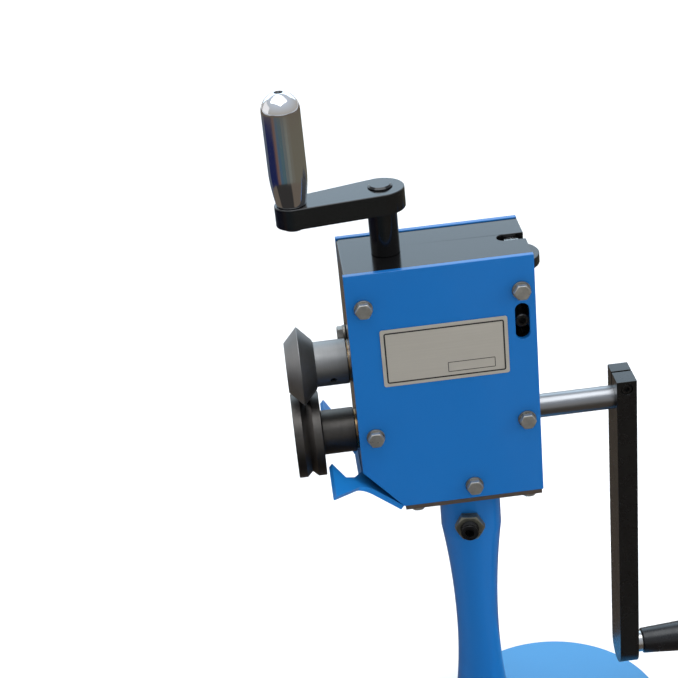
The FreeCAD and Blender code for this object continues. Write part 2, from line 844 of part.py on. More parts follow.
def make_drive_bushes():
    """The bronze bushes of the drive shaft, in the left and right blocks."""
    node("left_bush", bush("left_bush_body", ("box_left", "0", "drive_z"), "left_thick", True))
    node("right_bush", bush("right_bush_body", ("right_inner", "0", "drive_z"), "right_thick", True))


# ---- guide --------------------------------------------------------------------------------------

def guide_turn():
    """The guide's own X runs up its slope, and its own Z is the slope's upward normal."""
    slope = math.radians(number("guide_slope"))
    up_slope = V(-math.cos(slope), 0, math.sin(slope))
    normal = V(math.sin(slope), 0, math.cos(slope))
    return FreeCAD.Rotation(up_slope, normal.cross(up_slope), normal, "ZXY")


def guide_frame(thing):
    """Move an object from the guide's own frame, which starts at its lower tip, to the assembly."""
    moved = doc.addObject("Part::Compound", "on_slope")
    moved.Links = [thing]
    return place(moved, ("guide_tip_x", "0", "guide_tip_z"), guide_turn())


def guide_screw_spots():
    """Four screws, as distances up the slope and to the side."""
    spots = []
    for step in range(2):
        for side in ("-", ""):
            spots.append((f"guide_screw_first + {step} * guide_screw_pitch", f"{side}guide_screw_spread / 2"))
    return spots


def make_guide():
    """The winged guide that the sheet's edge rides on, below and beside the lower roll."""
    half = [
        ("0", "guide_tip_half"), ("guide_waist_at", "guide_waist_half"), ("guide_wing_at", "guide_wing_half"),
        ("guide_wing_at", "guide_cut_mouth"), ("guide_cut_at", "guide_cut_half"),
        ("guide_cut_shoulder_at", "guide_cut_shoulder"), ("guide_cut_floor_at", "guide_cut_floor"),
    ]
    lower = [(u, f"-{v}") for u, v in half]
    body = padded("guide_body", "XY_Plane", lower + half[::-1], "guide_thick",
                  ("guide_tip_x", "0", "guide_tip_z"), turn=guide_turn())
    body.Tip.Reversed = True
    waist = number("guide_waist_at")
    outer = number("guide_waist_half") - 1
    round_edges(body, upright_edges(body, lambda u, v: abs(u - waist) < 1e-3 and abs(v) > outer),
                "guide_waist_round")
    cut_floor = number("guide_cut_floor_at") + 1
    round_edges(body, upright_edges(body, lambda u, v: u > cut_floor), "guide_round")

    holes = []
    screws = []
    for u, v in guide_screw_spots():
        holes.append(rod("six_radius + bolt_play", "guide_thick", (u, v, "-guide_thick")))
        screws.append(socket_screw((u, v, "-guide_thick"), "+z", "six_radius", "six_head_radius", "six_head",
                                   "six_key_flats", "guide_screw_reach"))
    node("guide_plate", cut(body, *[guide_frame(hole) for hole in holes]))
    node("guide_screws", group([guide_frame(screw) for screw in screws]))


# ---- gears, keys and shaft ends -----------------------------------------------------------------

def make_gear(name, axis_z, turn):
    """A spur gear on a shaft along X: a disc with its tooth spaces cut by a polar pattern.

    The first space points up. turn then turns the gear about its shaft, in degrees.
    """
    body = doc.addObject("PartDesign::Body", name)
    disc = body.newObject("PartDesign::Pad", name + "_disc")
    circle = body.newObject("Sketcher::SketchObject", name + "_circle")
    circle.AttachmentSupport = (origin_plane(body, "YZ_Plane"), [""])
    circle.MapMode = "FlatFace"
    for index, text in enumerate(("tip_radius", "shaft_radius + snug_fit")):
        circle.addGeometry(Part.Circle(V(), V(0, 0, 1), number(text)), False)
        circle.addConstraint(Sketcher.Constraint("Coincident", index, 3, -1, 1))
        size = circle.addConstraint(Sketcher.Constraint("Radius", index, number(text)))
        circle.setExpression(f"Constraints[{size}]", full(text))
    disc.Profile = circle
    bind(disc, Length="gear_width")

    pitch_half = "(pi * gear_module / 4 + gear_backlash / 2)"
    floor_half = f"({pitch_half} - (pitch_radius - root_radius) * flank_slope)"
    mouth_half = f"({pitch_half} + 2 * gear_module * flank_slope)"
    mouth = "(pitch_radius + 2 * gear_module)"
    space = body.newObject("PartDesign::Pocket", name + "_space")
    space.Profile = outline(body, "YZ_Plane", [
        (f"-{floor_half}", "root_radius"), (floor_half, "root_radius"), (mouth_half, mouth),
        (f"-{mouth_half}", mouth)])
    space.Reversed = True
    space.Type = "ThroughAll"
    teeth = body.newObject("PartDesign::PolarPattern", name + "_teeth")
    teeth.Originals = [space]
    teeth.Axis = (circle, ["N_Axis"])
    teeth.Angle = 360.0
    bind(teeth, Occurrences="gear_teeth")
    body.Tip = teeth
    place(body, ("gear_x", "0", axis_z), FreeCAD.Rotation(V(1, 0, 0), number(turn)))
    return body


def key_spans():
    """Where each shaft's two keys lie along X: in the roll and in the gear."""
    return [("shaft_start + key_inset", "shaft_start + key_inset + key_length"),
            ("gear_x", "gear_x + key_length")]


def key_blocks(axis_z, play, rise):
    """The keys of one shaft, or with play and rise the room for them."""
    foot = f"{axis_z} + shaft_radius - key_sink"
    half = f"key_width / 2 + {play}"
    return [block(start, end, f"-({half})", half, foot, f"{foot} + key_height + {rise}")
            for start, end in key_spans()]


def key_room(start, end, axis_z):
    """The keyway through a hub."""
    half = "key_width / 2 + snug_fit"
    foot = f"{axis_z} + shaft_radius - key_sink"
    return block(start, end, f"-({half})", half, foot, f"{foot} + key_height + face_gap")


def end_bolt(x, axis_z, toward):
    """The bolt at a shaft's end, and the washer under it. Both are sunk in a roll's end."""
    seat = (x, "0", axis_z)
    washer = ring("end_washer_radius", "eight_radius + bolt_play", "end_washer_thick", seat, toward)
    return hex_bolt(seat, toward, "eight_radius", "eight_flats", "eight_head", "end_bolt_reach"), washer


def set_screw(axis_z, angle, solid):
    """The set screw in a roll's hub, or the threaded hole for it, turned down from -Y by an angle."""
    x = "box_left - set_screw_to_box"
    if solid:
        length = "hub_radius - set_screw_sink - shaft_radius - snug_fit"
        tip = (x, "-(shaft_radius + snug_fit)", "0")
        body = rod("set_screw_radius", length, tip, "-y")
        screw = cut(body, prism("set_key_flats", "set_key_depth", away(tip, "+y", length), "+y"))
    else:
        screw = rod("set_screw_radius + thread_fit", "hub_radius", (x, "-shaft_radius / 2", "0"), "-y")
    moved = doc.addObject("Part::Compound", "round_shaft")
    moved.Links = [screw]
    turn = FreeCAD.Rotation(V(1, 0, 0), number(angle))
    return place(moved, ("0", "0", axis_z), turn)


# ---- drive line: lower roll, gear and crank -----------------------------------------------------

def make_drive_line():
    """Everything that turns with the crank shaft."""
    start = "shaft_start"
    shoulder = "box_right - shaft_end_inset"
    shaft = turned(
        "drive_shaft_body", "x",
        [(start, "0"), ("crank_right", "0"), ("crank_right", "journal_radius"), (shoulder, "journal_radius"),
         (shoulder, "shaft_radius"), (start, "shaft_radius")],
        ("0", "0", "drive_z"),
    )
    keys = key_blocks("drive_z", "snug_fit", "0")
    thread = rod("eight_radius + thread_fit", "end_bolt_reach", (start, "0", "drive_z"), "+x")
    node("drive_shaft", cut(shaft, thread, *keys))
    node("drive_keys", group(key_blocks("drive_z", "0", "0")))

    bore = "shaft_radius + snug_fit"
    roll = turned(
        "drive_roll_body", "x",
        [("roll_left + end_sink", bore), ("drive_hub_end", bore), ("drive_hub_end", "hub_radius"),
         ("roll_right", "hub_radius"), ("roll_right", "rim_radius"), ("vee_x + groove_depth", "rim_radius"),
         ("vee_x", "groove_radius"), ("vee_x - groove_depth", "rim_radius"), ("roll_left", "rim_radius"),
         ("roll_left", "sink_radius"), ("roll_left + end_sink", "sink_radius")],
        ("0", "0", "drive_z"),
    )
    key_end = key_spans()[0][1]
    angle = "set_screw_angle + 180"
    hole = set_screw("drive_z", angle, False)
    node("drive_roll", cut(roll, key_room("roll_left", key_end, "drive_z"), hole))
    node("drive_set_screw", set_screw("drive_z", angle, True))
    bolt, washer = end_bolt("roll_left + end_sink - end_washer_thick", "drive_z", "+x")
    node("drive_end_bolt", bolt)
    node("drive_end_washer", washer)

    gear = make_gear("drive_gear_body", "drive_z", "180 / gear_teeth")
    node("drive_gear", cut(gear, key_room("gear_x", "gear_x + gear_width", "drive_z")))
    spacer_end = "right_inner - flange_thick - hub_gap"
    spacer = turned(
        "spacer_body", "x",
        [("gear_x + gear_width", bore), (spacer_end, bore), (spacer_end, f"{bore} + spacer_wall"),
         ("gear_x + gear_width", f"{bore} + spacer_wall")],
        ("0", "0", "drive_z"),
    )
    node("gear_spacer", spacer)


def make_crank():
    """The crank arm clamped on the shaft, its screw, and the revolving grip on its pin."""
    half = "crank_width / 2"
    bar = fuse(
        block("crank_left", "crank_right", f"-{half}", half, "grip_z", "drive_z + crank_above_shaft"),
        rod(half, "crank_thick", ("crank_left", "0", "grip_z"), "+x"),
    )
    middle = "(crank_left + crank_thick / 2)"
    clamp_at = (middle, f"-{half} + clamp_seat", "drive_z + clamp_rise")
    tools = [
        rod("journal_radius + snug_fit", "crank_thick", ("crank_left", "0", "drive_z"), "+x"),
        rod("grip_pin_radius + snug_fit", "crank_thick", ("crank_left", "0", "grip_z"), "+x"),
        block("crank_left", "crank_right", "crank_slit_back - crank_slit / 2",
              "crank_slit_back + crank_slit / 2", "drive_z", "drive_z + crank_above_shaft"),
        rod("six_head_radius + bolt_play", "clamp_seat", clamp_at, "-y"),
        rod("six_radius + thread_fit", "crank_width - clamp_seat", clamp_at, "+y"),
    ]
    node("crank_arm", cut(bar, *tools))
    node("clamp_screw", socket_screw(clamp_at, "+y", "six_radius", "six_head_radius", "six_head",
                                     "six_key_flats", "clamp_reach"))

    pin_start = "crank_left + grip_pin_inset"
    neck_at = "grip_start + grip_length - handle_mouth_depth - face_gap"
    tip = "grip_start + grip_length - handle_pin_sink"
    neck = "handle_mouth - running_fit"
    node("grip_pin", turned(
        "grip_pin_body", "x",
        [(pin_start, "0"), (tip, "0"), (tip, neck), (neck_at, neck), (neck_at, "grip_pin_radius"),
         (pin_start, "grip_pin_radius")],
        ("0", "0", "grip_z"),
    ))

    bore = "grip_pin_radius + running_fit"
    dome_top = "grip_length - grip_radius + sqrt(grip_radius ^ 2 - handle_mouth ^ 2)"
    floor = "grip_length - handle_mouth_depth"
    node("crank_grip", turned(
        "crank_grip_body", "x",
        [(floor, bore), (floor, "handle_mouth"), (dome_top, "handle_mouth"),
         ("grip_length - grip_radius", "grip_radius"), ("grip_taper", "grip_radius"),
         ("arm_chamfer", "grip_foot_radius"), ("0", "grip_foot_radius - arm_chamfer"), ("0", bore)],
        ("grip_start", "0", "grip_z"), {2: "grip_radius"},
    ))
    ferrule_start = "crank_right + face_gap"
    node("grip_ferrule", turned(
        "ferrule_body", "x",
        [(ferrule_start, bore), ("grip_start", bore), ("grip_start", "ferrule_radius"),
         (ferrule_start, "ferrule_radius")],
        ("0", "0", "grip_z"),
    ))


# ---- rocker and upper roll ----------------------------------------------------------------------

def make_rocker():
    """The rocker that carries the upper shaft, hung on the pivot pin and moved by the feed nut."""
    fork_side = "fork_width / 2"
    fork = block("fork_left", "fork_right", f"-{fork_side}", fork_side,
                 "press_z - fork_below_shaft", "press_z + fork_above_shaft")
    nose = rod("nose_radius", "fork_left - press_nose_x + bite", ("press_nose_x", "0", "press_z"), "+x")
    beam = block("fork_right - bite", "beam_end", "-beam_width / 2", "beam_width / 2",
                 "beam_z", "beam_z + beam_height")
    leg = block("leg_left", "leg_right", "-leg_width / 2", "leg_width / 2",
                "press_z - leg_below_shaft", "beam_z + bite")
    tongue = block("beam_end - bite", "pivot_x", "-tongue_width / 2", "tongue_width / 2",
                   "pivot_z - tongue_radius", "pivot_z + tongue_top")
    eye = rod("tongue_radius", "tongue_width", ("pivot_x", "-tongue_width / 2", "pivot_z"), "+y")
    pocket_side = "(feed_nut_width / 2 + face_gap)"
    tools = [
        block("fork_left", "spindle_x + feed_nut_length / 2 + gear_room", f"-{pocket_side}", pocket_side,
              "press_z + fork_floor", "press_z + fork_above_shaft"),
        rod("bush_radius + snug_fit", "front_bush_length", ("press_nose_x", "0", "press_z"), "+x"),
        rod("shaft_radius + gear_room", "fork_right - press_nose_x", ("press_nose_x", "0", "press_z"), "+x"),
        rod("bush_radius + snug_fit", "leg_length", ("leg_left", "0", "press_z"), "+x"),
        rod("trunnion_radius + running_fit", "fork_width", ("spindle_x", f"-{fork_side}", "nut_z"), "+y"),
        rod("pivot_radius + running_fit", "tongue_width", ("pivot_x", "-tongue_width / 2", "pivot_z"), "+y"),
    ]
    node("rocker_arm", cut(fuse(fork, nose, beam, leg, tongue, eye), *tools))
    front = bush("front_bush_body", ("press_nose_x", "0", "press_z"), "front_bush_length", True)
    node("rocker_front_bush", front)
    rear = bush("rear_bush_body", ("leg_left", "0", "press_z"), "leg_length", False)
    node("rocker_rear_bush", rear)

    nut_half = "feed_nut_width / 2"
    nut_low = "nut_z - feed_nut_height / 2"
    body = block("spindle_x - feed_nut_length / 2", "spindle_x + feed_nut_length / 2",
                 f"-{nut_half}", nut_half, nut_low, "nut_z + feed_nut_height / 2")
    trunnion = rod("trunnion_radius", "feed_nut_width + 2 * trunnion_reach",
                   ("spindle_x", f"-{nut_half} - trunnion_reach", "nut_z"), "+y")
    bore = rod("feed_radius + feed_play", "feed_nut_height", ("spindle_x", "0", nut_low))
    node("feed_nut", cut(fuse(body, trunnion), bore))


def make_press_line():
    """Upper shaft, upper roll and upper gear."""
    start = "shaft_start"
    end = "gear_x + gear_width - shaft_end_inset"
    shaft = rod("shaft_radius", f"{end} - ({start})", (start, "0", "press_z"), "+x")
    threads = [rod("eight_radius + thread_fit", "end_bolt_reach", (start, "0", "press_z"), "+x"),
               rod("eight_radius + thread_fit", "end_bolt_reach", (end, "0", "press_z"), "-x")]
    node("press_shaft", cut(shaft, *threads, *key_blocks("press_z", "snug_fit", "0")))
    node("press_keys", group(key_blocks("press_z", "0", "0")))

    bore = "shaft_radius + snug_fit"
    shoulder = "press_radius - roll_half_width"
    roll = turned(
        "press_roll_body", "x",
        [("roll_left + end_sink", bore), ("press_hub_end", bore), ("press_hub_end", "hub_radius"),
         ("roll_right", "hub_radius"), ("roll_right", shoulder), ("vee_x", "press_radius"),
         ("roll_left", shoulder), ("roll_left", "sink_radius"), ("roll_left + end_sink", "sink_radius")],
        ("0", "0", "press_z"),
    )
    key_end = key_spans()[0][1]
    hole = set_screw("press_z", "set_screw_angle", False)
    node("press_roll", cut(roll, key_room("roll_left", key_end, "press_z"), hole))
    node("press_set_screw", set_screw("press_z", "set_screw_angle", True))
    left = end_bolt("roll_left + end_sink - end_washer_thick", "press_z", "+x")
    right = end_bolt("gear_x + gear_width + end_washer_thick", "press_z", "-x")
    node("press_end_bolts", group([left[0], right[0]]))
    node("press_end_washers", group([left[1], right[1]]))
    gear = make_gear("press_gear_body", "press_z", "180")
    node("press_gear", cut(gear, key_room("gear_x", "gear_x + gear_width", "press_z")))


# ---- feed spindle and top handle ----------------------------------------------------------------

def make_link(name, long, near_radius, far_radius):
    """A flat link with two round ends of different size, tangent to its straight sides."""
    span, near, far = number(long), number(near_radius), number(far_radius)
    lean = math.acos((near - far) / span)
    body = doc.addObject("PartDesign::Body", name)
    sketch = body.newObject("Sketcher::SketchObject", name + "_outline")
    sketch.AttachmentSupport = (origin_plane(body, "XY_Plane"), [""])
    sketch.MapMode = "FlatFace"
    up = V(math.cos(lean), math.sin(lean), 0)
    down = V(math.cos(lean), -math.sin(lean), 0)
    end = V(span, 0, 0)
    axis = V(0, 0, 1)
    sketch.addGeometry(Part.ArcOfCircle(Part.Circle(V(), axis, near), lean, 2 * math.pi - lean), False)
    sketch.addGeometry(Part.LineSegment(down * near, end + down * far), False)
    sketch.addGeometry(Part.ArcOfCircle(Part.Circle(end, axis, far), -lean, lean), False)
    sketch.addGeometry(Part.LineSegment(end + up * far, up * near), False)
    sketch.addConstraint(Sketcher.Constraint("Coincident", 0, 3, -1, 1))
    sketch.addConstraint(Sketcher.Constraint("PointOnObject", 2, 3, -1))
    for first, second in ((0, 1), (1, 2), (2, 3), (3, 0)):
        sketch.addConstraint(Sketcher.Constraint("Tangent", first, 2, second, 1))
    sizes = [
        (sketch.addConstraint(Sketcher.Constraint("Radius", 0, near)), near_radius),
        (sketch.addConstraint(Sketcher.Constraint("Radius", 2, far)), far_radius),
        (sketch.addConstraint(Sketcher.Constraint("DistanceX", 2, 3, span)), long),
    ]
    for index, text in sizes:
        sketch.setExpression(f"Constraints[{index}]", full(text))
    pad = body.newObject("PartDesign::Pad", name + "_pad")
    pad.Profile = sketch
    bind(pad, Length="arm_thick")
    return body


def make_feed_line():
    """The captive feed spindle, its stop ring, the top arm and the pin of the top handle."""
    start = "press_z + feed_end_rise"
    ring_low = "block_top - stop_ring_height"
    head = "arm_top + tenon_proud"
    spindle = turned(
        "spindle_body", "z",
        [("0", start), ("feed_radius", start), ("feed_radius", ring_low), ("spindle_neck", ring_low),
         ("spindle_neck", "top_z"), ("post_radius", "top_z"), ("post_radius", "arm_z"),
         ("tenon_radius", "arm_z"), ("tenon_radius", f"{head} - tenon_chamfer"),
         ("tenon_radius - tenon_chamfer", head), ("0", head)],
        ("spindle_x", "0", "0"),
    )
    pin_from = ("spindle_x - stop_ring_radius + gear_room", "0", "block_top - stop_ring_height / 2")
    pin_length = "2 * (stop_ring_radius - gear_room)"
    hole_from = ("spindle_x - stop_ring_radius", "0", pin_from[2])
    hole = rod("stop_pin_radius + snug_fit", "2 * stop_ring_radius", hole_from, "+x")
    node("feed_spindle", cut(spindle, hole))
    ring_at = ("spindle_x", "0", ring_low)
    stop = ring("stop_ring_radius", "spindle_neck + snug_fit", "stop_ring_height", ring_at, "+z")
    node("stop_ring", cut(stop, hole))
    node("stop_pin", rod("stop_pin_radius", pin_length, pin_from, "+x"))

    link = make_link("arm_body", "arm_length", "arm_hub_radius", "arm_end_radius")
    doc.recompute()
    rims = []
    for index, edge in enumerate(link.Tip.Shape.Edges, start=1):
        if abs(edge.Vertexes[0].Z - edge.Vertexes[-1].Z) < 1e-6:
            rims.append(f"Edge{index}")
    tip = link.Tip
    bevel = link.newObject("PartDesign::Chamfer", "arm_bevel")
    bevel.Base = (tip, rims)
    bind(bevel, Size="arm_chamfer")
    place(link, ("spindle_x", "0", "arm_z"), FreeCAD.Rotation(V(0, 0, 1), number("arm_turn")))
    eye = rod("tenon_radius + snug_fit", "arm_thick", ("spindle_x", "0", "arm_z"))
    pin_hole = rod("handle_pin_radius + snug_fit", "arm_thick", ("handle_x", "handle_y", "arm_z"))
    node("feed_arm", cut(link, eye, pin_hole))

    foot = "arm_top + face_gap"
    neck_at = f"{foot} + handle_length - handle_mouth_depth - face_gap"
    pin_top = f"{foot} + handle_length - handle_pin_sink"
    neck = "handle_mouth - running_fit"
    node("handle_pin", turned(
        "handle_pin_body", "z",
        [("0", "arm_z - handle_pin_head_thick"), ("handle_pin_head", "arm_z - handle_pin_head_thick"),
         ("handle_pin_head", "arm_z"), ("handle_pin_radius", "arm_z"), ("handle_pin_radius", neck_at),
         (neck, neck_at), (neck, pin_top), ("0", pin_top)],
        ("handle_x", "handle_y", "0"),
    ))
    bore = "handle_pin_radius + running_fit"
    dome_top = "handle_length - handle_radius + sqrt(handle_radius ^ 2 - handle_mouth ^ 2)"
    floor = "handle_length - handle_mouth_depth"
    node("top_handle", turned(
        "top_handle_body", "z",
        [(bore, "0"), ("handle_foot_radius - arm_chamfer", "0"), ("handle_foot_radius", "arm_chamfer"),
         ("handle_radius", "handle_taper"), ("handle_radius", "handle_length - handle_radius"),
         ("handle_mouth", dome_top), ("handle_mouth", floor), (bore, floor)],
        ("handle_x", "handle_y", foot), {4: "handle_radius"},
    ))


# ---- rear adjuster ------------------------------------------------------------------------------

def make_adjuster():
    """The carriage of the pivot pin with its stud, the pin, and the wheel nut on the stud."""
    half = "carriage_width / 2"
    top = "pivot_z + carriage_above_pivot"
    body = block("carriage_left", "carriage_right", f"-{half}", half, "pivot_z - carriage_below_pivot", top)
    stud = rod("stud_radius", f"top_z - stud_sink - ({top})", ("adjuster_x", "0", top))
    side = "(tongue_width / 2 + running_fit)"
    slot = block("carriage_left", "carriage_right", f"-{side}", side, "pivot_z - carriage_below_pivot",
                 f"{top} - carriage_bridge")
    bore = rod("pivot_radius + snug_fit", "carriage_width", ("pivot_x", f"-{half}", "pivot_z"), "+y")
    node("pivot_carriage", cut(fuse(body, stud), slot, bore))

    end = "(half_depth - pin_inset)"
    pin = rod("pivot_radius", f"2 * {end}", ("pivot_x", f"-{end}", "pivot_z"), "+y")
    sockets = [prism("pin_key_flats", "pin_key_depth", ("pivot_x", f"-{end}", "pivot_z"), "+y"),
               prism("pin_key_flats", "pin_key_depth", ("pivot_x", end, "pivot_z"), "-y")]
    node("pivot_pin", cut(pin, *sockets))

    low = ("adjuster_x", "0", "wheel_z - wheel_thick / 2")
    node("adjuster_wheel", ring("wheel_radius", "stud_radius + thread_fit", "wheel_thick", low, "+z"))


# ---- build and write ----------------------------------------------------------------------------

def check_objects():
    """Stop if any object failed or any sub-part is not a valid solid."""
    for thing in doc.Objects:
        if "Invalid" in thing.State or "Error" in thing.State:
            raise RuntimeError(f"{thing.Label} failed: {thing.State}")
    for label, thing in NODES.items():
        if thing.Shape.isNull() or not thing.Shape.isValid() or not thing.Shape.Solids:
            raise RuntimeError(f"{label} has no valid solid")


def write_nodes():
    """Write each sub-part to its own file."""
    os.makedirs("parts", exist_ok=True)
    for label, thing in NODES.items():
        thing.Shape.exportStep(os.path.join("parts", label + ".step"))


make_stand()
make_stem()
make_bottom_and_top()
make_side_plates()
make_end_blocks()
make_chin()
make_side_bolts()
make_name_plate()
make_drive_bushes()
make_guide()
make_drive_line()
make_crank()
make_rocker()
make_press_line()
make_feed_line()
make_adjuster()
doc.recompute()
check_objects()
write_nodes()
print(len(NODES), "sub-parts written")
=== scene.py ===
"""The dressed hand flanger: painted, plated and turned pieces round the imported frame.

Lengths are given in millimetres and turned into metres by MM. Only the camera, the lamps and the cards
have their places and sizes in metres. +Z is up, the rolls are at -X, the crank is at +X, and the operator
stands at -Y.
"""
import json
import math

import bpy
from mathutils import Matrix, Vector


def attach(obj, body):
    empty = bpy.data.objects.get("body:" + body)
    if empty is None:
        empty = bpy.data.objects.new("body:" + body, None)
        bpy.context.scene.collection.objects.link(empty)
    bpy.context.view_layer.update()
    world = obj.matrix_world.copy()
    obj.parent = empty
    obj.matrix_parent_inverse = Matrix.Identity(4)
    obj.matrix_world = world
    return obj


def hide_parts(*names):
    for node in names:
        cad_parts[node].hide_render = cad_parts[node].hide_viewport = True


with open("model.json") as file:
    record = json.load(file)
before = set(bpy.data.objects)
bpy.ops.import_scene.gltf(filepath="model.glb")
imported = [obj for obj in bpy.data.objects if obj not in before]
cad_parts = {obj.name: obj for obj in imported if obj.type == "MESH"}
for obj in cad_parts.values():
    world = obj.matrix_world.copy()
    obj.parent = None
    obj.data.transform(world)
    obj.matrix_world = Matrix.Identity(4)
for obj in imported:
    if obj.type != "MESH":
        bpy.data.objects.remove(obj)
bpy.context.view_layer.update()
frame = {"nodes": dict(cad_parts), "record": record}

MM = 0.001
SAME_POINT = 0.002 * MM
FULL_TURN = 2 * math.pi
AXES = {"x": Vector((1, 0, 0)), "y": Vector((0, 1, 0)), "z": Vector((0, 0, 1))}

# Places that several pieces share, in millimetres.
COLUMN_X = -72.0
COLUMN_FOOT, COLUMN_TOP = 24.0, 314.0
BOX_LEFT, BOX_RIGHT = -170.0, -10.0
BOX_FLOOR, BOX_ROOF = 318.0, 550.0
BLOCK_TOP, TOP_FACE = 539.0, 549.0
HALF_ROOM, HALF_DEPTH = 38.0, 43.0
DRIVE_Z, PRESS_Z, PIVOT_Z = 379.0, 449.0, 489.0
PIVOT_X, ADJUSTER_X, SPINDLE_X = -22.0, -21.5, -129.5
VEE_X, ROLL_LEFT, ROLL_RIGHT, SINK_FLOOR = -213.5, -226.0, -201.0, -217.0
ARM_LOW, ARM_TOP, ARM_SPAN = 590.4, 608.8, 76.6
ARM_TURN = math.radians(191)
HANDLE_X = round(SPINDLE_X + ARM_SPAN * math.cos(ARM_TURN), 3)
HANDLE_Y = round(ARM_SPAN * math.sin(ARM_TURN), 3)
HANDLE_FOOT = 609.1
CRANK_LEFT, CRANK_RIGHT = 63.8, 82.0
CLAMP_X, CLAMP_Z = 72.9, 395.0
GRIP_X, GRIP_Z = 89.0, 97.0
LOCK_Z, LOCK_SEAT = 279.3, 27.5
LOCK_LEAN = math.radians(9.4)
LOCK_WAY = Vector((-math.sin(LOCK_LEAN), -math.cos(LOCK_LEAN), 0))

# Sizes that several pieces share, in millimetres. Every bore is a radius.
LOCK_BORE, SHAFT_BORE, GRIP_BORE, HANDLE_BORE, WASHER_BORE = 8.05, 12.52, 6.05, 5.05, 4.3
BOLT_FLATS, BOLT_HEAD, WASHER_THICK = 13.0, 5.3, 2.2

# Where most lamps point, in metres.
MIDDLE = (-0.1, 0.0, 0.4)

# The ring of cards on the floor round the top handle. Its radii and height are in metres. Each card has
# its start and end angle, in degrees from straight in front, and its colour.
RING_NEAR, RING_FAR, RING_HEIGHT = 1.2, 2.0, 0.007
HANDLE_RING = [
    (-180, -123, (0.10, 0.12, 0.16)), (-123, -70, (0.012, 0.018, 0.075)), (-70, -62, (0.05, 0.04, 0.07)),
    (-62, -50, (0.15, 0.085, 0.075)), (-50, -44, (0.12, 0.11, 0.12)), (-44, -30, (0.06, 0.11, 0.16)),
    (-30, -10, (0.07, 0.12, 0.14)), (-10, 8, (0.12, 0.14, 0.14)), (8, 24, (0.17, 0.18, 0.16)),
    (24, 40, (0.15, 0.145, 0.12)), (40, 180, (0.14, 0.13, 0.10)),
]


# ---- camera, floor, lamps and cards ---------------------------------------------------------------

def set_camera():
    """Stand the camera in front, a little above the head and looking down."""
    forward = Vector((0.0275, 0.8878, -0.4594)).normalized()
    right = forward.cross(Vector((0.1211, 0.4533, 0.8831))).normalized()
    above = right.cross(forward)
    place = Matrix((right, above, -forward)).transposed().to_4x4()
    place.translation = Vector((-0.2144, -1.2050, 1.0948))
    bpy.ops.object.camera_add()
    camera = bpy.context.object
    camera.name = "bench_camera"
    camera.matrix_world = place
    camera.data.sensor_width = 36.0
    camera.data.lens = 82.4
    camera.data.clip_end = 60.0
    bpy.context.scene.camera = camera


def lay_floor():
    """A pale floor under the base."""
    bpy.ops.mesh.primitive_circle_add(vertices=64, radius=9.0, fill_type="NGON", location=(0, 0, 0))
    floor = bpy.context.object
    floor.name = "pale_floor"
    floor.data.materials.append(pale_floor_finish())


def paint_room():
    """A pale room all round, warm low down and bluer above."""
    world = bpy.data.worlds.new("pale_room")
    bpy.context.scene.world = world
    world.use_nodes = True
    nodes, links = world.node_tree.nodes, world.node_tree.links
    where = nodes.new("ShaderNodeTexCoord")
    split = nodes.new("ShaderNodeSeparateXYZ")
    links.new(where.outputs["Generated"], split.inputs["Vector"])
    ramp = nodes.new("ShaderNodeValToRGB")
    links.new(split.outputs["Z"], ramp.inputs["Fac"])
    set_ramp(ramp, 0.0, (0.62, 0.60, 0.57), 0.75, (0.80, 0.88, 1.0))
    links.new(ramp.outputs["Color"], nodes["Background"].inputs["Color"])
    nodes["Background"].inputs["Strength"].default_value = 0.7


def hang_lamp(name, place, aim, size, power, colour):
    """A soft rectangular lamp at a place, turned towards another."""
    turn = (Vector(aim) - Vector(place)).to_track_quat("-Z", "Y")
    bpy.ops.object.light_add(type="AREA", location=place, rotation=turn.to_euler())
    lamp = bpy.context.object
    lamp.name = name
    lamp.data.shape = "RECTANGLE"
    lamp.data.size, lamp.data.size_y = size
    lamp.data.energy = power
    lamp.data.color = colour
    return lamp


def light_room():
    """Soft overhead daylight in a pale room, with fill lamps that no surface mirrors."""
    view = bpy.context.scene.view_settings
    view.view_transform = "Standard"
    view.look = "None"
    paint_room()
    cool, warm, white = (0.93, 0.97, 1.0), (1.0, 0.98, 0.95), (1.0, 1.0, 1.0)
    hang_lamp("overhead_lamp", (-0.25, -0.15, 2.3), MIDDLE, (2.2, 1.8), 36.0, cool)
    fills = (hang_lamp("front_lamp", (0.8, -2.2, 1.5), MIDDLE, (1.4, 1.4), 13.0, warm),
             hang_lamp("side_lamp", (1.9, -0.6, 1.3), MIDDLE, (1.2, 1.2), 26.0, warm),
             hang_lamp("far_lamp", (-0.5, 4.5, 3.5), (-0.5, 4.5, 0.0), (6.0, 3.0), 170.0, white))
    for lamp in fills:
        lamp.visible_glossy = False


def stand_card(name, place, aim, size, colour):
    """A flat card at a place, turned towards another."""
    turn = (Vector(aim) - Vector(place)).to_track_quat("Z", "Y")
    bpy.ops.mesh.primitive_plane_add(size=1.0, location=place, rotation=turn.to_euler())
    card = bpy.context.object
    card.name = name
    card.scale = (*size, 1.0)
    bpy.ops.object.transform_apply(location=True, rotation=True, scale=True)
    set_card(card, colour)


def set_card(card, colour):
    """Colour a card and keep it to reflections."""
    card.data.materials.append(card_finish(card.name + "_finish", colour))
    card.visible_camera = False
    card.visible_diffuse = False
    card.visible_shadow = False


def lay_ring_cards():
    """Cards in a ring on the floor round the top handle, which shows them as bands in its chrome."""
    centre = (HANDLE_X * MM, HANDLE_Y * MM)
    for index, (start, end, colour) in enumerate(HANDLE_RING, start=1):
        near = arc(*centre, RING_NEAR, start - 90, end - 90, 8)
        far = arc(*centre, RING_FAR, end - 90, start - 90, 8)
        card = draw_loop(f"ring_card_{index}", [Vector((x, y, RING_HEIGHT)) for x, y in near + far])
        fill_loop()
        bpy.ops.object.mode_set(mode="OBJECT")
        set_card(card, colour)


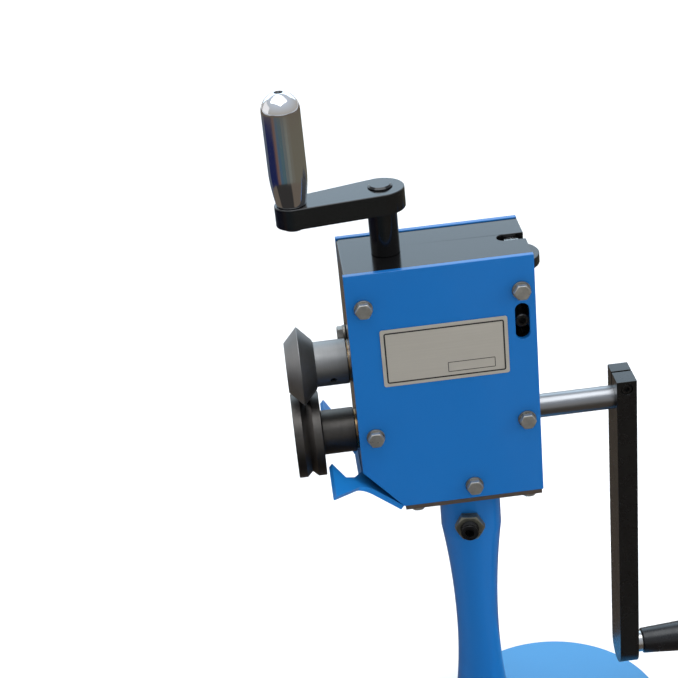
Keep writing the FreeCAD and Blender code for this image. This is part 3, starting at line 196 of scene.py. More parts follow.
def stand_cards():
    """Mats on the floor and pale panels behind and to the left, which polished metal mirrors."""
    stand_card("brown_mat", (0, 0, 0.003), (0, 0, 1), (8.0, 8.0), (0.135, 0.112, 0.090))
    stand_card("dark_mat", (-0.78, -0.655, 0.005), (-0.78, -0.655, 1), (1.64, 1.07), (0.035, 0.033, 0.032))
    lay_ring_cards()
    stand_card("sky_panel", (0, 3.2, 2.2), (0, 0, 0.5), (6.0, 2.6), (1.55, 1.95, 2.3))
    stand_card("left_panel", (-3.0, 0.6, 1.3), (-0.2, 0, 0.45), (3.0, 1.8), (0.95, 0.95, 0.97))


# ---- finishes -------------------------------------------------------------------------------------

def start_finish(name, colour, metallic, roughness):
    """A material with its plain colour, metallic and roughness set."""
    finish = bpy.data.materials.new(name)
    finish.use_nodes = True
    shader = finish.node_tree.nodes["Principled BSDF"]
    shader.inputs["Base Color"].default_value = (*colour, 1)
    shader.inputs["Metallic"].default_value = metallic
    shader.inputs["Roughness"].default_value = roughness
    return finish


def lacquer(finish, specular, weight, roughness):
    """Set how much the surface under the clear coat mirrors, and the coat itself."""
    shader = finish.node_tree.nodes["Principled BSDF"]
    shader.inputs["Specular IOR Level"].default_value = specular
    shader.inputs["Coat Weight"].default_value = weight
    shader.inputs["Coat Roughness"].default_value = roughness


def grain(finish, scale, detail, stretch=(1, 1, 1)):
    """Noise in the piece's own space, stretched along an axis by a smaller number."""
    nodes, links = finish.node_tree.nodes, finish.node_tree.links
    where = nodes.new("ShaderNodeTexCoord")
    mapping = nodes.new("ShaderNodeMapping")
    mapping.inputs["Scale"].default_value = stretch
    noise = nodes.new("ShaderNodeTexNoise")
    noise.inputs["Scale"].default_value = scale
    noise.inputs["Detail"].default_value = detail
    links.new(where.outputs["Object"], mapping.inputs["Vector"])
    links.new(mapping.outputs["Vector"], noise.inputs["Vector"])
    return noise.outputs["Fac"]


def spread(finish, source, low, high):
    """Turn noise into a value between low and high."""
    nodes, links = finish.node_tree.nodes, finish.node_tree.links
    ranged = nodes.new("ShaderNodeMapRange")
    ranged.inputs["From Min"].default_value = 0.3
    ranged.inputs["From Max"].default_value = 0.7
    ranged.inputs["To Min"].default_value = low
    ranged.inputs["To Max"].default_value = high
    links.new(source, ranged.inputs["Value"])
    return ranged.outputs["Result"]


def set_ramp(ramp, low, low_colour, high, high_colour):
    """Blend a colour ramp from one colour at low to another at high."""
    first, last = ramp.color_ramp.elements
    first.position = low
    first.color = (*low_colour, 1)
    last.position = high
    last.color = (*high_colour, 1)


def tint(finish, source, dark, light):
    """Colour a piece between two shades by noise."""
    nodes, links = finish.node_tree.nodes, finish.node_tree.links
    ramp = nodes.new("ShaderNodeValToRGB")
    set_ramp(ramp, 0.3, dark, 0.7, light)
    links.new(source, ramp.inputs["Fac"])
    shader = nodes["Principled BSDF"]
    links.new(ramp.outputs["Color"], shader.inputs["Base Color"])


def ripple(finish, source, depth):
    """Raise and lower a surface by noise, with depth in millimetres."""
    nodes, links = finish.node_tree.nodes, finish.node_tree.links
    bump = nodes.new("ShaderNodeBump")
    bump.inputs["Strength"].default_value = 1.0
    bump.inputs["Distance"].default_value = depth * MM
    links.new(source, bump.inputs["Height"])
    links.new(bump.outputs["Normal"], nodes["Principled BSDF"].inputs["Normal"])


def roughen(finish, source, low, high):
    """Vary a surface's roughness by noise."""
    shader = finish.node_tree.nodes["Principled BSDF"]
    finish.node_tree.links.new(spread(finish, source, low, high), shader.inputs["Roughness"])


def pale_floor_finish():
    """Pale floor paint, slightly cloudy."""
    finish = start_finish("pale_floor_finish", (0.86, 0.86, 0.86), metallic=0.0, roughness=0.75)
    tint(finish, grain(finish, 3.0, 2), (0.90, 0.90, 0.90), (0.92, 0.92, 0.92))
    return finish


def card_finish(name, colour):
    """A plain glowing card, so that no lamp changes its colour."""
    finish = bpy.data.materials.new(name)
    finish.use_nodes = True
    nodes, links = finish.node_tree.nodes, finish.node_tree.links
    glow = nodes.new("ShaderNodeEmission")
    glow.inputs["Color"].default_value = (*colour, 1)
    links.new(glow.outputs["Emission"], nodes["Material Output"].inputs["Surface"])
    return finish


def blue_paint(name, dark, light):
    """Smooth sprayed gloss blue under clear lacquer."""
    finish = start_finish(name, light, metallic=0.0, roughness=0.3)
    lacquer(finish, specular=0.1, weight=0.6, roughness=0.07)
    tint(finish, grain(finish, 9.0, 2), dark, light)
    roughen(finish, grain(finish, 26.0, 2), 0.28, 0.31)
    return finish


def gloss_black():
    """Polished black steel, with faint rubbing marks."""
    finish = start_finish("gloss_black", (0.007, 0.007, 0.0075), metallic=0.0, roughness=0.16)
    tint(finish, grain(finish, 14.0, 4), (0.0028, 0.0028, 0.003), (0.0045, 0.0045, 0.0048))
    roughen(finish, grain(finish, 45.0, 4, (1, 5, 5)), 0.12, 0.16)
    ripple(finish, grain(finish, 260.0, 3), 0.004)
    return finish


def black_oxide():
    """Satin black oxide on milled steel."""
    finish = start_finish("black_oxide", (0.006, 0.006, 0.0065), metallic=0.0, roughness=0.3)
    lacquer(finish, specular=0.4, weight=0.12, roughness=0.16)
    tint(finish, grain(finish, 30.0, 4), (0.003, 0.003, 0.0032), (0.005, 0.0048, 0.0047))
    roughen(finish, grain(finish, 70.0, 5), 0.24, 0.32)
    ripple(finish, grain(finish, 900.0, 4), 0.006)
    return finish


def brown_black():
    """Thin dark primer on the bottom plate."""
    finish = start_finish("brown_black", (0.055, 0.037, 0.025), metallic=0.0, roughness=0.55)
    roughen(finish, grain(finish, 60.0, 4), 0.5, 0.62)
    return finish


def turned_steel(name, dark, light, low, high, axis, depth=0.012):
    """Bare steel with fine tool marks round one axis, with their depth in millimetres."""
    finish = start_finish(name, light, metallic=1.0, roughness=low)
    along = [40.0 if letter == axis else 0.6 for letter in "xyz"]
    marks = grain(finish, 60.0, 5, along)
    tint(finish, grain(finish, 40.0, 6), dark, light)
    roughen(finish, marks, low, high)
    ripple(finish, marks, depth)
    return finish


def zinc_plate(name, dark, light):
    """Clear zinc plate, slightly warm and cloudy."""
    finish = start_finish(name, light, metallic=0.85, roughness=0.34)
    tint(finish, grain(finish, 160.0, 5), dark, light)
    roughen(finish, grain(finish, 210.0, 5), 0.26, 0.44)
    ripple(finish, grain(finish, 1200.0, 4), 0.015)
    return finish


def chrome_plate():
    """Bright chrome, with faint handling marks."""
    finish = start_finish("chrome_plate", (0.82, 0.82, 0.83), metallic=1.0, roughness=0.1)
    roughen(finish, grain(finish, 60.0, 4), 0.08, 0.13)
    return finish


def moulded_black():
    """Moulded black plastic."""
    finish = start_finish("moulded_black", (0.004, 0.004, 0.005), metallic=0.0, roughness=0.28)
    tint(finish, grain(finish, 35.0, 4), (0.0025, 0.0025, 0.003), (0.004, 0.004, 0.005))
    roughen(finish, grain(finish, 120.0, 5), 0.24, 0.34)
    ripple(finish, grain(finish, 1400.0, 3), 0.012)
    return finish


def bearing_bronze():
    """Turned bearing bronze, dark with oil."""
    finish = start_finish("bearing_bronze", (0.30, 0.20, 0.10), metallic=1.0, roughness=0.3)
    tint(finish, grain(finish, 60.0, 5), (0.20, 0.13, 0.07), (0.34, 0.23, 0.12))
    roughen(finish, grain(finish, 90.0, 5), 0.24, 0.42)
    ripple(finish, grain(finish, 700.0, 4), 0.02)
    return finish


def brushed_plate():
    """Name plate metal, brushed from end to end."""
    finish = start_finish("brushed_plate", (0.40, 0.37, 0.32), metallic=0.35, roughness=0.4)
    strokes = grain(finish, 700.0, 4, (0.03, 1, 1))
    tint(finish, strokes, (0.395, 0.367, 0.318), (0.415, 0.386, 0.335))
    roughen(finish, strokes, 0.38, 0.43)
    return finish


def black_enamel():
    """The enamel that fills the name plate's lines."""
    finish = start_finish("black_enamel", (0.012, 0.012, 0.012), metallic=0.0, roughness=0.35)
    roughen(finish, grain(finish, 300.0, 4), 0.28, 0.45)
    return finish


# ---- outlines -------------------------------------------------------------------------------------

def spot(x, y, z):
    """A place given in millimetres."""
    return Vector((x, y, z)) * MM


def at_depth(corners, y):
    """Corners (x, z) of an upright outline, as places at one depth."""
    return [spot(x, y, z) for x, z in corners]


def arc(centre_first, centre_second, radius, start, end, steps):
    """Corners along an arc, with its angles in degrees from the outline's first direction."""
    corners = []
    for step in range(steps + 1):
        angle = math.radians(start + (end - start) * step / steps)
        corners.append((centre_first + radius * math.cos(angle), centre_second + radius * math.sin(angle)))
    return corners


def hollow(low, high, steps):
    """Profile corners along a shallow arc, upright at its narrow end: low and high are (radius, along)."""
    narrow, wide = sorted((low, high))
    drop = abs(wide[1] - narrow[1])
    swell = (drop ** 2 + (wide[0] - narrow[0]) ** 2) / 2 / (wide[0] - narrow[0])
    corners = []
    for step in range(steps + 1):
        along = low[1] + (high[1] - low[1]) * step / steps
        off = abs(along - narrow[1])
        corners.append((narrow[0] + swell - math.sqrt(swell ** 2 - off ** 2), along))
    return corners


def rounded(left, low, wide, high, radius):
    """Corners (x, z) of a rectangle with rounded corners, from its lower right one upwards."""
    near_left, near_right = left + radius, left + wide - radius
    near_low, near_top = low + radius, low + high - radius
    return [*arc(near_right, near_low, radius, 270, 360, 4), *arc(near_right, near_top, radius, 0, 90, 4),
            *arc(near_left, near_top, radius, 90, 180, 4), *arc(near_left, near_low, radius, 180, 270, 4)]


# ---- shaping helpers ------------------------------------------------------------------------------

def let_go():
    """Leave edit mode, with nothing selected."""
    if bpy.context.object and bpy.context.object.mode != "OBJECT":
        bpy.ops.object.mode_set(mode="OBJECT")
    bpy.ops.object.select_all(action="DESELECT")


def hold(piece):
    """Select one piece alone and make it active."""
    let_go()
    piece.select_set(True)
    bpy.context.view_layer.objects.active = piece


def draw(name, corners):
    """A line through corners, drawn by extruding one point. It stays in edit mode."""
    let_go()
    bpy.ops.mesh.primitive_plane_add(size=MM, location=corners[0])
    piece = bpy.context.object
    piece.name = name
    bpy.ops.object.transform_apply(location=True, rotation=False, scale=False)
    bpy.ops.object.mode_set(mode="EDIT")
    bpy.ops.mesh.select_mode(type="VERT")
    bpy.ops.mesh.select_all(action="SELECT")
    bpy.ops.mesh.merge(type="CENTER")
    for before, after in zip(corners, corners[1:]):
        bpy.ops.mesh.extrude_vertices_move(TRANSFORM_OT_translate={"value": after - before})
    return piece


def draw_loop(name, corners):
    """A line through corners and back to the first. It stays in edit mode."""
    piece = draw(name, corners + corners[:1])
    bpy.ops.mesh.select_all(action="SELECT")
    bpy.ops.mesh.remove_doubles(threshold=SAME_POINT)
    return piece


def fill_loop():
    """Fill a closed line with one face, which stays selected."""
    bpy.ops.mesh.select_all(action="SELECT")
    bpy.ops.mesh.edge_face_add()


def thicken_loop(thick):
    """Fill a closed line and pull its face along a step in space, then leave edit mode."""
    fill_loop()
    bpy.ops.mesh.extrude_region_move(TRANSFORM_OT_translate={"value": thick})
    close_shape()


def close_shape():
    """Merge doubles and point every face outwards, then leave edit mode."""
    bpy.ops.mesh.select_all(action="SELECT")
    bpy.ops.mesh.remove_doubles(threshold=SAME_POINT)
    bpy.ops.mesh.normals_make_consistent(inside=False)
    bpy.ops.object.mode_set(mode="OBJECT")


def turned(name, profile, centre, axis, steps=96, closed=False):
    """A shape turned on a lathe. The profile is (radius, along) from the centre, in millimetres."""
    along = AXES[axis]
    across = AXES["y"] if axis == "z" else AXES["z"]
    corners = [centre + (across * radius + along * reach) * MM for radius, reach in profile]
    if closed:
        corners.append(corners[0])
    piece = draw(name, corners)
    bpy.ops.mesh.select_all(action="SELECT")
    bpy.ops.mesh.spin(steps=steps, angle=FULL_TURN, center=centre, axis=along)
    close_shape()
    return piece


def sawn(name, corners, thick):
    """A flat shape sawn from plate: corners in space, and the thickness as a step in space."""
    piece = draw_loop(name, corners)
    thicken_loop(thick)
    return piece


def box(name, low, high):
    """A square block between two corners, in millimetres."""
    let_go()
    middle = (Vector(low) + Vector(high)) / 2 * MM
    bpy.ops.mesh.primitive_cube_add(size=1.0, location=middle)
    piece = bpy.context.object
    piece.name = name
    piece.scale = (Vector(high) - Vector(low)) * MM
    bpy.ops.object.transform_apply(location=True, rotation=False, scale=True)
    return piece


def rod(name, radius, centre, direction, length, sides=64):
    """A round or many-sided bar from the centre of its end along a direction."""
    let_go()
    turn = Vector(direction).to_track_quat("Z", "Y")
    middle = centre + Vector(direction).normalized() * length * MM / 2
    bpy.ops.mesh.primitive_cylinder_add(vertices=sides, radius=radius * MM, depth=length * MM,
                                        location=middle, rotation=turn.to_euler())
    piece = bpy.context.object
    piece.name = name
    bpy.ops.object.transform_apply(location=True, rotation=True, scale=False)
    return piece


def use(piece, kind, **settings):
    """Put a modifier on a piece and apply it."""
    hold(piece)
    change = piece.modifiers.new(kind.lower(), kind)
    for key, value in settings.items():
        setattr(change, key, value)
    bpy.ops.object.modifier_apply(modifier=change.name)
    return piece


def carve(piece, *tools, operation="DIFFERENCE"):
    """Cut tools out of a piece, or keep only what they share."""
    for tool in tools:
        use(piece, "BOOLEAN", operation=operation, object=tool, solver="EXACT")
        bpy.data.objects.remove(tool)
    return piece


def ease(piece, width, segments=3, angle=28.0):
    """Break the sharp edges by a width in millimetres."""
    return use(piece, "BEVEL", width=width * MM, segments=segments, limit_method="ANGLE",
               angle_limit=math.radians(angle), use_clamp_overlap=True)


def smooth(piece, angle=32.0):
    """Shade round faces smooth and keep flats flat."""
    hold(piece)
    bpy.ops.object.shade_smooth_by_angle(angle=math.radians(angle))
    use(piece, "WEIGHTED_NORMAL", keep_sharp=True, weight=95)
    return piece


def fit(piece, body, slot, finish, *nodes):
    """Give a finished piece its finish and body, and hide the nodes it stands for. The slot is not used."""
    let_go()
    piece.data.materials.clear()
    piece.data.materials.append(finish)
    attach(piece, body)
    if nodes:
        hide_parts(*nodes)


def copies(piece, places):
    """Copies of a piece made at the origin along +Z, one for each name, place and direction."""
    made = []
    for name, place, direction in places:
        copy = piece.copy()
        copy.data = piece.data.copy()
        copy.name = name
        bpy.context.scene.collection.objects.link(copy)
        turn = Vector(direction).to_track_quat("Z", "Y").to_matrix().to_4x4()
        copy.data.transform(Matrix.Translation(place) @ turn)
        made.append(copy)
    bpy.data.objects.remove(piece)
    return made


# ---- fasteners ------------------------------------------------------------------------------------

def hex_head(name, flats, height, face_share=0.94):
    """A forged hexagon head standing on the origin, with the corners of its top turned off."""
    corner = flats / 2 / math.cos(math.pi / 6)
    outside = corner + 0.2
    face = flats / 2 * face_share
    fall = (outside - face) * math.tan(math.pi / 6)
    head = rod(name, corner, Vector(), (0, 0, 1), height, sides=6)
    head.data.transform(Matrix.Rotation(math.pi / 6, 4, "Z"))
    profile = [(0, 0), (outside, 0), (outside, height - fall), (face, height), (0, height)]
    carve(head, turned("turned_off", profile, Vector(), "z"), operation="INTERSECT")
    return head


def bolt_head(name):
    """The head of one of the machine's hexagon bolts, standing on the origin."""
    return smooth(ease(hex_head(name, BOLT_FLATS, BOLT_HEAD), 0.25, 2))


def bolt_washer(name, radius, thick, edge):
    """A turned washer for one of those bolts, lying on the origin."""
    profile = [(WASHER_BORE, 0), (radius, 0), (radius, thick), (WASHER_BORE, thick)]
    return smooth(ease(turned(name, profile, Vector(), "z", closed=True), edge))


def side_bolts(finish, washer_finish):
    """The zinc bolts of the box and their washers. The bolt on the left end is as dark as the washers."""
    left, upper, middle, lower = -155.6, 518.9, 393.4, 331.9
    spots = [(left, upper), (PIVOT_X, upper), (left, middle), (PIVOT_X, middle), (COLUMN_X, lower)]
    places = []
    for index, (x, z) in enumerate(spots, start=1):
        places.append((f"front_{index}", spot(x, -HALF_DEPTH, z), (0, -1, 0)))
        places.append((f"back_{index}", spot(x, HALF_DEPTH, z), (0, 1, 0)))
    places.append(("left_end", spot(BOX_LEFT, 29.0, 461.0), (-1, 0, 0)))
    heads = [("bolt_" + name, place + Vector(way) * WASHER_THICK * MM, way) for name, place, way in places]
    for bolt in copies(bolt_head("bolt_head"), heads):
        bolt_finish = washer_finish if bolt.name == "bolt_left_end" else finish
        fit(bolt, "head", "zinc", bolt_finish, "side_bolts")
    rings = [("washer_" + name, place, way) for name, place, way in places]
    for ring in copies(bolt_washer("washer", 8.0, WASHER_THICK, edge=0.35), rings):
        fit(ring, "head", "zinc", washer_finish, "side_washers")


def under_bolts(finish):
    """The four bolts that hold the bottom plate from below."""
    places = []
    for x in (-123.0, -21.7):
        for y in (-32.5, 32.5):
            places.append((f"under_bolt_{len(places) + 1}", spot(x, y, COLUMN_TOP), (0, 0, -1)))
    for bolt in copies(bolt_head("under_head"), places):
        fit(bolt, "head", "zinc", finish, "bottom_bolts")


# ---- stand ----------------------------------------------------------------------------------------

def make_base(paint):
    """The round base plate, with a rounded top edge and the foot screws' sinks below."""
    radius, chamfer, rounding = 108.0, 1.5, 2.0
    profile = [(0, 0), (radius - chamfer, 0), (radius, chamfer),
               *arc(radius - rounding, COLUMN_FOOT - rounding, rounding, 0, 90, 6), (0, COLUMN_FOOT)]
    base = turned("round_base", profile, Vector(), "z", steps=192)
    sink_reach, sink_radius, sink_depth = 20.0, 8.3, 10.3
    for degrees in (60, 180, 300):
        angle = math.radians(degrees)
        place = spot(COLUMN_X + sink_reach * math.cos(angle), sink_reach * math.sin(angle), -1)
        carve(base, rod("screw_sink", sink_radius, place, (0, 0, 1), sink_depth + 1))
    fit(smooth(base, 40), "stand", "blue_paint", paint, "base_plate")


def make_column(paint):
    """The cast column: a flared foot, a waist and a straight collar with a seat for the lock nut."""
    height = COLUMN_TOP - COLUMN_FOOT
    collar_radius, chamfer = 28.0, 0.6
    foot, waist, collar = (32.0, 0.0), (20.0, 124.0), (collar_radius, 239.5)
    profile = [(0, 0), *hollow(foot, waist, 24), *hollow(waist, collar, 24)[1:],
               (collar_radius, height - chamfer), (collar_radius - chamfer, height), (0, height)]
    column = turned("column_casting", profile, spot(COLUMN_X, 0, COLUMN_FOOT), "z", steps=128)
    middle, above = spot(COLUMN_X, 0, LOCK_Z), spot(COLUMN_X, 0, COLUMN_TOP + 1)
    seat_radius, stem_bore, stem_depth = 14.86, 18.05, 110
    carve(column, rod("nut_seat", seat_radius, middle + LOCK_WAY * LOCK_SEAT * MM, LOCK_WAY, 6, sides=96),
          rod("stem_bore", stem_bore, above, (0, 0, -1), stem_depth + 1, sides=96),
          rod("screw_bore", LOCK_BORE, middle, LOCK_WAY, 31, sides=64))
    fit(smooth(column, 14), "stand", "blue_paint", paint, "column")


def make_lock_nut(zinc):
    """The lock nut against its seat on the collar."""
    thick = 8.0
    nut = hex_head("lock_nut_body", 24.0, thick, 0.96)
    bore = [(0, -1), (9.2, -1), (LOCK_BORE, 0.6), (LOCK_BORE, thick - 0.8), (9.4, thick + 1), (0, thick + 1)]
    carve(nut, turned("nut_bore", bore, Vector(), "z"))
    seat = spot(COLUMN_X, 0, LOCK_Z) + LOCK_WAY * LOCK_SEAT * MM
    nut = copies(smooth(ease(nut, 0.3, 2)), [("lock_nut_zinc", seat, LOCK_WAY)])[0]
    fit(nut, "stand", "zinc", zinc, "lock_nut")


def make_lock_screw(oxide):
    """The socket set screw through the nut, with its thread as rings where it shows."""
    radius, root, pitch = 8.0, 7.25, 2.0
    point, along, tip = 18.05, 34.0, 42.85
    profile = [(0, point), (radius - 1, point), (radius, point + 1)]
    while along + pitch < tip - 1.2:
        profile += [(radius, along), (radius, along + pitch * 0.25), (root, along + pitch * 0.55),
                    (root, along + pitch * 0.7)]
        along += pitch
    profile += [(radius, tip - 0.4), (radius - 0.4, tip), (0, tip)]
    screw = turned("lock_screw_turned", profile, Vector(), "z", steps=64)
    carve(screw, rod("key_socket", 4.62, spot(0, 0, tip + 1), (0, 0, -1), 10, sides=6))
    screw = copies(smooth(screw), [("lock_screw_black", spot(COLUMN_X, 0, LOCK_Z), LOCK_WAY)])[0]
    fit(screw, "lock", "black_oxide", oxide, "lock_screw")


# ---- gear box -------------------------------------------------------------------------------------

def make_side_plates(paint):
    """Front and back plates with the cut corner and the slot for the pivot pin."""
    cut_wide, cut_high = 34, 40
    outline = [(BOX_LEFT + cut_wide, BOX_FLOOR), (BOX_RIGHT, BOX_FLOOR), (BOX_RIGHT, BOX_ROOF),
               (BOX_LEFT, BOX_ROOF), (BOX_LEFT, BOX_FLOOR + cut_high)]
    slot_top, slot_low, slot_radius = 500.0, 478.0, 6.2
    slot_outline = [*arc(PIVOT_X, slot_top, slot_radius, 0, 180, 16),
                    *arc(PIVOT_X, slot_low, slot_radius, 180, 360, 16)]
    thick = HALF_DEPTH - HALF_ROOM
    for name, node, y in (("front_plate_painted", "front_plate", -HALF_DEPTH),
                          ("back_plate_painted", "back_plate", HALF_ROOM)):
        plate = sawn(name, at_depth(outline, y), spot(0, thick, 0))
        carve(plate, sawn("pin_slot", at_depth(slot_outline, y - 1), spot(0, thick + 2, 0)))
        fit(smooth(ease(plate, 0.5)), "head", "blue_paint", paint, node)


def make_top_plate(black):
    """The thick top plate, with the spindle's bore and the stud's slot."""
    plate = box("top_plate_black", (BOX_LEFT, -HALF_ROOM, BLOCK_TOP), (BOX_RIGHT, HALF_ROOM, TOP_FACE))
    round_left_corners(plate, 3)
    slot_x, slot_radius, spindle_bore = -27.8, 6.3, 9.05
    under, through = BLOCK_TOP - 1, TOP_FACE - BLOCK_TOP + 2
    carve(plate, box("stud_slot", (slot_x, -slot_radius, under), (BOX_RIGHT + 1, slot_radius, TOP_FACE + 1)),
          rod("slot_end", slot_radius, spot(slot_x, 0, under), (0, 0, 1), through),
          rod("spindle_bore", spindle_bore, spot(SPINDLE_X, 0, under), (0, 0, 1), through))
    fit(smooth(ease(plate, 0.5)), "head", "black_metal", black, "top_plate")


def round_left_corners(plate, radius):
    """Round the two upright edges at the left end of the box."""
    hold(plate)
    bpy.ops.object.mode_set(mode="EDIT")
    bpy.ops.mesh.select_all(action="DESELECT")
    bpy.ops.object.mode_set(mode="OBJECT")
    for edge in plate.data.edges:
        ends = [plate.data.vertices[index].co for index in edge.vertices]
        upright = abs(ends[0].z - ends[1].z) > MM
        edge.select = upright and ends[0].x < (BOX_LEFT + 1) * MM
    bpy.ops.object.mode_set(mode="EDIT")
    bpy.ops.mesh.select_mode(type="EDGE")
    bpy.ops.mesh.bevel(offset=radius * MM, segments=6, affect="EDGES")
    bpy.ops.object.mode_set(mode="OBJECT")


def make_name_plate(metal, enamel):
    """A bare name plate with an enamel line round it and an empty field."""
    left, low, wide, high, thick = -144.0, 442.0, 109.0, 54.5, 0.8
    front, margin = -HALF_DEPTH - thick, 3
    plate = sawn("name_plate_brushed", at_depth(rounded(left, low, wide, high, 2), -HALF_DEPTH),
                 spot(0, -thick, 0))
    fit(smooth(ease(plate, 0.15, 2)), "head", "plate_metal", metal, "name_plate")
    rim = frame_line("name_plate_rim", left + margin, low + margin, wide - 2 * margin, high - 2 * margin,
                     corner=2.0, line=1.3, front=front)
    fit(smooth(rim), "head", "black_metal", enamel)
    field = frame_line("name_plate_field", left + 56, low + 7.5, 41, 9.5, corner=0.6, line=0.6, front=front)
    fit(smooth(field), "head", "black_metal", enamel)


def frame_line(name, left, low, wide, high, corner, line, front):
    """A thin line round a rectangle with rounded corners, raised a little from a front face."""
    sunk, raised, inner_corner = 0.1, 0.04, max(corner - line, 0.15)
    outer = rounded(left, low, wide, high, corner)
    inner = rounded(left + line, low + line, wide - 2 * line, high - 2 * line, inner_corner)
    ring = sawn(name, at_depth(outer, front + sunk), spot(0, -sunk - raised, 0))
    return carve(ring, sawn("inside", at_depth(inner, front + 0.6), spot(0, -1.5, 0)))


def make_pivot_pin(oxide):
    """The pivot pin, with a chamfer and a hexagon socket at each end."""
    radius, half, chamfer = 6.0, 42.0, 0.8
    profile = [(0, -half), (radius - chamfer, -half), (radius, chamfer - half), (radius, half - chamfer),
               (radius - chamfer, half), (0, half)]
    pin = turned("pivot_pin_black", profile, spot(PIVOT_X, 0, PIVOT_Z), "y", steps=64)
    for y, way in ((-half - 1, 1), (half + 1, -1)):
        carve(pin, rod("socket", 3.46, spot(PIVOT_X, y, PIVOT_Z), (0, way, 0), 6, sides=6))
    fit(smooth(pin), "carriage", "black_oxide", oxide, "pivot_pin")


def make_adjuster_wheel(oxide):
    """The round wheel nut of the rear adjuster."""
    bore, radius, thick, under = 6.05, 23.5, 9, 524.5
    wheel = turned("adjuster_wheel_black", [(bore, 0), (radius, 0), (radius, thick), (bore, thick)],
                   spot(ADJUSTER_X, 0, under), "z", closed=True)
    fit(smooth(ease(wheel, 0.8)), "wheel", "black_oxide", oxide, "adjuster_wheel")


# ---- guide ----------------------------------------------------------------------------------------

def make_guide(paint):
    """The winged guide plate, sloping up from the cut corner."""
    slope = math.radians(38.66)
    up = Vector((-math.cos(slope), 0, math.sin(slope)))
    normal = Vector((math.sin(slope), 0, math.cos(slope)))
    foot = spot(-136, 0, 317)
    neck, tips, thick = 42.5, 77.0, 5.0
    half = [(0, 40.5), (neck, 39.5), (tips, 86), (tips, 31.5), (63, 43.3), (53, 35), (44, 18.5)]
    outline = [(reach, -side) for reach, side in half] + half[::-1]
    guide = draw_loop("guide_plate_painted",
                      [foot + (up * reach + AXES["y"] * side) * MM for reach, side in outline])
    for reach, radius, steps in ((neck, 12, 10), (tips, 3, 5)):
        round_corners(guide, foot, up, reach, radius, steps)
    thicken_loop(normal * -thick * MM)
    fit(smooth(ease(guide, 0.6)), "head", "blue_paint", paint, "guide_plate")


def round_corners(piece, foot, up, reach, radius, steps):
    """Round the outline's outer corners that lie at one reach up the slope."""
    outer = 33
    bpy.ops.mesh.select_all(action="DESELECT")
    bpy.ops.object.mode_set(mode="OBJECT")
    for vertex in piece.data.vertices:
        off = vertex.co - foot
        vertex.select = abs(off.dot(up) - reach * MM) < 0.1 * MM and abs(off.y) > outer * MM
    bpy.ops.object.mode_set(mode="EDIT")
    bpy.ops.mesh.bevel(offset=radius * MM, offset_type="OFFSET", segments=steps, affect="VERTICES")


# ---- rolls ----------------------------------------------------------------------------------------

def turned_roll(name, rim, hub_end, shaft_z, screw_angle):
    """A roll with a rim of given corners, its hub, the end bolt's sink and the set screw's hole."""
    sink_radius, hub_radius = 16.3, 20.0
    profile = [(SHAFT_BORE, SINK_FLOOR), (sink_radius, SINK_FLOOR), (sink_radius, ROLL_LEFT), *rim,
               (hub_radius + 0.8, ROLL_RIGHT), (hub_radius, ROLL_RIGHT + 0.8),
               (hub_radius, hub_end - 0.6), (hub_radius - 0.6, hub_end), (SHAFT_BORE, hub_end)]
    roll = turned(name, profile, spot(0, 0, shaft_z), "x", steps=160, closed=True)
    carve(roll, screw_hole(shaft_z, screw_angle))
    return smooth(roll, 20)


def make_press_roll(steel):
    """The upper roll, with a V-shaped rim."""
    radius, shoulder = 34.8, 22.5
    rim = [(shoulder - 0.6, ROLL_LEFT), (shoulder, ROLL_LEFT + 0.6), (radius, VEE_X - 0.2),
           (radius, VEE_X + 0.2), (shoulder, ROLL_RIGHT - 0.6), (shoulder - 0.9, ROLL_RIGHT)]
    roll = turned_roll("press_roll_turned", rim, -171.9, PRESS_Z, screw_angle=24)
    fit(roll, "press", "roll_steel", steel, "press_roll")


def make_drive_roll(steel):
    """The lower roll, with a groove in its rim."""
    radius, groove_floor = 38.0, 33.5
    rim = [(radius - 0.6, ROLL_LEFT), (radius, ROLL_LEFT + 0.6), (radius, VEE_X - 4.9),
           (radius - 0.4, VEE_X - 4.5), (groove_floor, VEE_X), (radius - 0.4, VEE_X + 4.5),
           (radius, VEE_X + 4.9), (radius, ROLL_RIGHT - 0.6), (radius - 0.6, ROLL_RIGHT)]
    roll = turned_roll("drive_roll_turned", rim, -171.4, DRIVE_Z, screw_angle=204)
    fit(roll, "drive", "roll_steel", steel, "drive_roll")


def screw_hole(shaft_z, angle):
    """The hole for a roll's set screw, turned down from the front by an angle."""
    lean = math.radians(angle)
    way = Vector((0, -math.cos(lean), -math.sin(lean)))
    return rod("set_screw_hole", 3.05, spot(-186, 0, shaft_z) + way * 6 * MM, way, 22)


def shaft_end_bolts(zinc):
    """The bolt and thick washer at each roll's outer face, and at the upper shaft's right end."""
    radius, thick, shaft_right = 16, 3, -43
    leftwards, rightwards = (-1, 0, 0), (1, 0, 0)
    for body, shaft_z, bolt_node, washer_node in (
            ("drive", DRIVE_Z, "drive_end_bolt", "drive_end_washer"),
            ("press", PRESS_Z, "press_end_bolts", "press_end_washers")):
        rings = [(body + "_ring_left", spot(SINK_FLOOR, 0, shaft_z), leftwards)]
        heads = [(body + "_bolt_left", spot(SINK_FLOOR - thick, 0, shaft_z), leftwards)]
        if body == "press":
            rings.append(("press_ring_right", spot(shaft_right, 0, shaft_z), rightwards))
            heads.append(("press_bolt_right", spot(shaft_right + thick, 0, shaft_z), rightwards))
        for ring in copies(bolt_washer(body + "_end_ring", radius, thick, edge=0.5), rings):
            fit(ring, body, "zinc", zinc, washer_node)
        for bolt in copies(bolt_head(body + "_end_head"), heads):
            fit(bolt, body, "zinc", zinc, bolt_node)


# ---- crank ----------------------------------------------------------------------------------------

